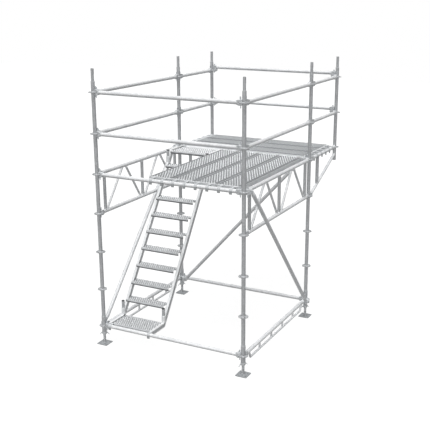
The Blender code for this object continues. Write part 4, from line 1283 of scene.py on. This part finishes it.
stub_places = ((front + FOOT_STUB_PLACE, FOOT_STUB_TOP), (rear - HEAD_STUB_FROM_REAR, HEAD_STUB_TOP))
for side in ("left", "right"):
    low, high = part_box("stair_stringer_" + side)
    x_low = low.x if side == "left" else high.x - STRINGER_WIDTH
    x_high = x_low + STRINGER_WIDTH
    middle_x = (x_low + x_high) / 2
    claw_x = high.x - CLAW_WIDTH / 2 if side == "left" else middle_x
    parts = [mitred_band(x_low, x_high)]
    for y, level, turn in ((front, FOOT_CLAW_LEVEL, 1), (rear, DECK_LEVEL, -1)):
        claw = hooked_claw(0, STAIR_END_GAP + STAIR_CLAW_LAP, STAIR_CLAW_TOP)
        quarter_turn = Matrix.Rotation(turn * math.pi / 2, 4, "Z")
        claw.data.transform(Matrix.Translation((claw_x, y, level)) @ quarter_turn)
        parts.append(claw)
    caps = []
    for y, top in stub_places:
        surface = centre_level(y) + STRINGER_DEPTH / 2 / math.cos(stair_angle)
        stub, cap = socketed_stub(middle_x, y, surface, top)
        parts.append(stub)
        caps.append(cap)
    stringer = joined("stringer", *parts)
    end_caps = joined("end_caps", *caps)
    finished(stringer, "mitred_stringer_" + side, Matrix.Identity(4), "aluminium_section",
             "stair_stringer_" + side)
    finished(end_caps, "handrail_caps_" + side, Matrix.Identity(4), "black_plastic")
    discard(stringer, end_caps)


# Treads and trays
# Aluminium sheet, 3 mm, punched with collared holes for grip, folded down at the front and rear
# and hemmed. The treads are bolted between the stringers, and a wider tray closes the foot and the
# head of the flight.
TREAD_DEPTH = 0.153
TREAD_LIP = 0.035
TREAD_NOSE = 0.016
TREAD_TURN = 0.019
TREAD_TUCK = 0.012
TREAD_RETURN = 0.006
TREAD_SHEET = 0.003
TREAD_COLUMN = 0.030
TREAD_ROW = 0.0345
TREAD_COLUMNS = 19
TREAD_FOLD = 0.004
TREAD_ROW_PAIRS = 2
TRAY_ROW_PAIRS = {"stair_foot_tray": 4, "stair_head_tray": 5}

# Mill-finish aluminium sheet, greyer than the extrusions. Its top is dirty between the collars,
# which are painted bright as a painted highlight on their raised rims, and the hem that tucks
# under is painted dark: painted shade under the fold of the nose.
SHEET_TONES = ("#c0c2c4", "#d2d4d6")
TREAD_TOP_TONES = ("#8c8e90", "#a0a2a4")
TREAD_COLLAR_HIGHLIGHT_TONES = ("#e0e2e4", "#eff0f1")
HEM_SHADE_TONES = ("#66686a", "#787a7c")
aluminium_sheet = toned("mill_aluminium_sheet", spangled, SHEET_TONES, 0.3)
walked_aluminium = toned("walked_aluminium_sheet", spangled, TREAD_TOP_TONES, 0.3)
# The tucked-under hem is painted dark: painted shade under the nose
hem_shade = toned("aluminium_hem_painted_shade", spangled, HEM_SHADE_TONES, 0.3)
# Tread collars are painted lighter: a painted highlight
tread_collar_highlight = toned("aluminium_collar_painted_highlight", spangled, TREAD_COLLAR_HIGHLIGHT_TONES, 0.3)


def folded_tread(width, depth, row_pairs):
    """A punched sheet folded down at its front and rear, with its depth along Y and its top at zero."""
    rows = 2 * row_pairs * TREAD_ROW
    half_columns = TREAD_COLUMNS * TREAD_COLUMN / 2
    reopened(punched_sheet(TREAD_COLUMNS, row_pairs, TREAD_ROW, TREAD_COLUMN))
    for side in (-1, 1):
        drawn_out(lambda point: side * point.y > half_columns - NEAR,
                  (0, side * (width / 2 - half_columns), 0))
    margin = (depth - rows) / 2
    for side, edge in ((-1, 0.0), (1, rows)):
        drawn_out(lambda point: side * (point.x - edge) > -NEAR,
                  (side * (margin - TREAD_FOLD), 0, 0),
                  (side * TREAD_FOLD * 0.7, 0, -TREAD_FOLD * 0.3),
                  (side * TREAD_FOLD * 0.3, 0, -TREAD_FOLD * 0.7),
                  (0, 0, -TREAD_NOSE + TREAD_FOLD),
                  (-side * TREAD_TUCK * 0.35, 0, -TREAD_TURN * 0.6),
                  (-side * TREAD_TUCK * 0.65, 0, -TREAD_TURN * 0.4),
                  (-side * TREAD_RETURN, 0, 0),
                  (0, 0, TREAD_SHEET),
                  (side * TREAD_RETURN, 0, 0),
                  (0, 0, TREAD_LIP - 2.5 * TREAD_SHEET))
    tread = up_and_painted(outward(30), rows, half_columns,
                           walked_aluminium, tread_collar_highlight, aluminium_sheet)
    tread.data.materials.append(hem_shade)
    # Faces below the nose take the hem's painted shade
    for face in tread.data.polygons:
        if face.center.z < -TREAD_NOSE:
            face.material_index = 3
    tread.data.transform(Matrix.Rotation(math.pi / 2, 4, "Z") @ Matrix.Translation((margin, 0, 0)))
    return tread


low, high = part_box("stair_tread_1")
tread = folded_tread(high.x - low.x, TREAD_DEPTH, TREAD_ROW_PAIRS)
treads = {f"stair_tread_{number}": tread for number in range(1, 10)}
for node, row_pairs in TRAY_ROW_PAIRS.items():
    low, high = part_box(node)
    treads[node] = folded_tread(high.x - low.x, high.y - low.y, row_pairs)
for node, pattern in treads.items():
    low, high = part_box(node)
    place = Matrix.Translation(((low.x + high.x) / 2, low.y, high.z - COLLAR_STEPS[0][1]))
    finished(pattern, "punched_" + node, place, "aluminium_sheet", node)
discard(*set(treads.values()))


# Floor, light and camera
# The floor and the sky are white to the camera. A broad lamp stands high behind the camera and
# casts the shadows, a second one beside it casts none and stands for soft light all round it, and
# a weak low one fills the right side. So tubes are light along the top and darker below.
FLOOR_SIZE = 60.0
FLOOR_LIFT = 0.78
SKY_STRENGTH = 0.15
KEY_STRENGTH = 1.3
SOFT_STRENGTH = 1.9
KEY_ANGLE = 20.0
KEY_AZIMUTH = 14.0
KEY_ELEVATION = 69.0
FILL_STRENGTH = 0.15
FILL_ANGLE = 40.0
FILL_AZIMUTH = 30.0
FILL_ELEVATION = 10.0
CAMERA_PLACE = (4.7477, -9.2513, 4.4327)
CAMERA_AZIMUTH = -26.187
CAMERA_ELEVATION = -16.034
CAMERA_ROLL = 0.163
CAMERA_LENS = 66.517
CAMERA_SHIFT = (-0.0545, 0.0058)

start_fresh()
bpy.ops.mesh.primitive_plane_add(size=FLOOR_SIZE)
floor = bpy.context.object
floor.name = "floor"


def shown_rays(tree):
    """1 for camera, glossy and transmission rays, 0 for the rays that light the object."""
    paths = add_node(tree, "ShaderNodeLightPath", {})
    mirrored = add_node(tree, "ShaderNodeMath", {"operation": "MAXIMUM"},
                        {0: paths.outputs["Is Glossy Ray"], 1: paths.outputs["Is Transmission Ray"]})
    shown = add_node(tree, "ShaderNodeMath", {"operation": "MAXIMUM"},
                     {0: paths.outputs["Is Camera Ray"], 1: mirrored.outputs[0]})
    return shown.outputs[0]


def floor_glow(tree):
    lift = add_node(tree, "ShaderNodeMath", {"operation": "MULTIPLY", 1: FLOOR_LIFT}, {0: shown_rays(tree)})
    return {"Emission Strength": lift.outputs[0]}


floor_settings = {"Base Color": linear("#888888"), "Roughness": 0.9, "Emission Color": linear("#ffffff")}
floor.data.materials.append(shaded("white_floor", floor_settings, floor_glow))
floor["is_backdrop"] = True

sky = bpy.data.worlds.new("sky")
bpy.context.scene.world = sky
sky.use_nodes = True
background = sky.node_tree.nodes["Background"]
background.inputs["Color"].default_value = linear("#ffffff")
strength = ranged(sky.node_tree, shown_rays(sky.node_tree), 0.0, 1.0, SKY_STRENGTH, 1.0)
sky.node_tree.links.new(strength, background.inputs["Strength"])


def lamp(name, azimuth, elevation, strength, spread, shadows=True):
    """A far lamp in the direction that the angles give, azimuth from -Y to the right."""
    light = bpy.data.lights.new(name, "SUN")
    light.energy = strength
    light.angle = math.radians(spread)
    light.use_shadow = shadows
    holder = bpy.data.objects.new(name, light)
    turn = math.radians(azimuth)
    rise = math.radians(elevation)
    towards = Vector((math.sin(turn) * math.cos(rise), -math.cos(turn) * math.cos(rise), math.sin(rise)))
    holder.rotation_euler = towards.to_track_quat("Z", "Y").to_euler()
    bpy.context.scene.collection.objects.link(holder)


lamp("key", KEY_AZIMUTH, KEY_ELEVATION, KEY_STRENGTH, KEY_ANGLE)
lamp("soft", KEY_AZIMUTH, KEY_ELEVATION, SOFT_STRENGTH, KEY_ANGLE, shadows=False)
lamp("fill", FILL_AZIMUTH, FILL_ELEVATION, FILL_STRENGTH, FILL_ANGLE)

azimuth = math.radians(CAMERA_AZIMUTH)
elevation = math.radians(CAMERA_ELEVATION)
roll = math.radians(CAMERA_ROLL)
ahead = Vector((math.sin(azimuth) * math.cos(elevation), math.cos(azimuth) * math.cos(elevation),
                math.sin(elevation)))
right = Vector((math.cos(azimuth), -math.sin(azimuth), 0))
up = right.cross(ahead)
rolled_right = math.cos(roll) * right + math.sin(roll) * up
rolled_up = -math.sin(roll) * right + math.cos(roll) * up
camera_data = bpy.data.cameras.new("camera")
camera_data.sensor_width = 36.0
camera_data.lens = CAMERA_LENS
camera_data.shift_x, camera_data.shift_y = CAMERA_SHIFT
camera = bpy.data.objects.new("camera", camera_data)
bpy.context.scene.collection.objects.link(camera)
facing = Matrix((rolled_right, rolled_up, -ahead)).transposed().to_4x4()
camera.matrix_world = Matrix.Translation(CAMERA_PLACE) @ facing
bpy.context.scene.camera = camera
bpy.context.scene.view_settings.view_transform = "Standard"

low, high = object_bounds()
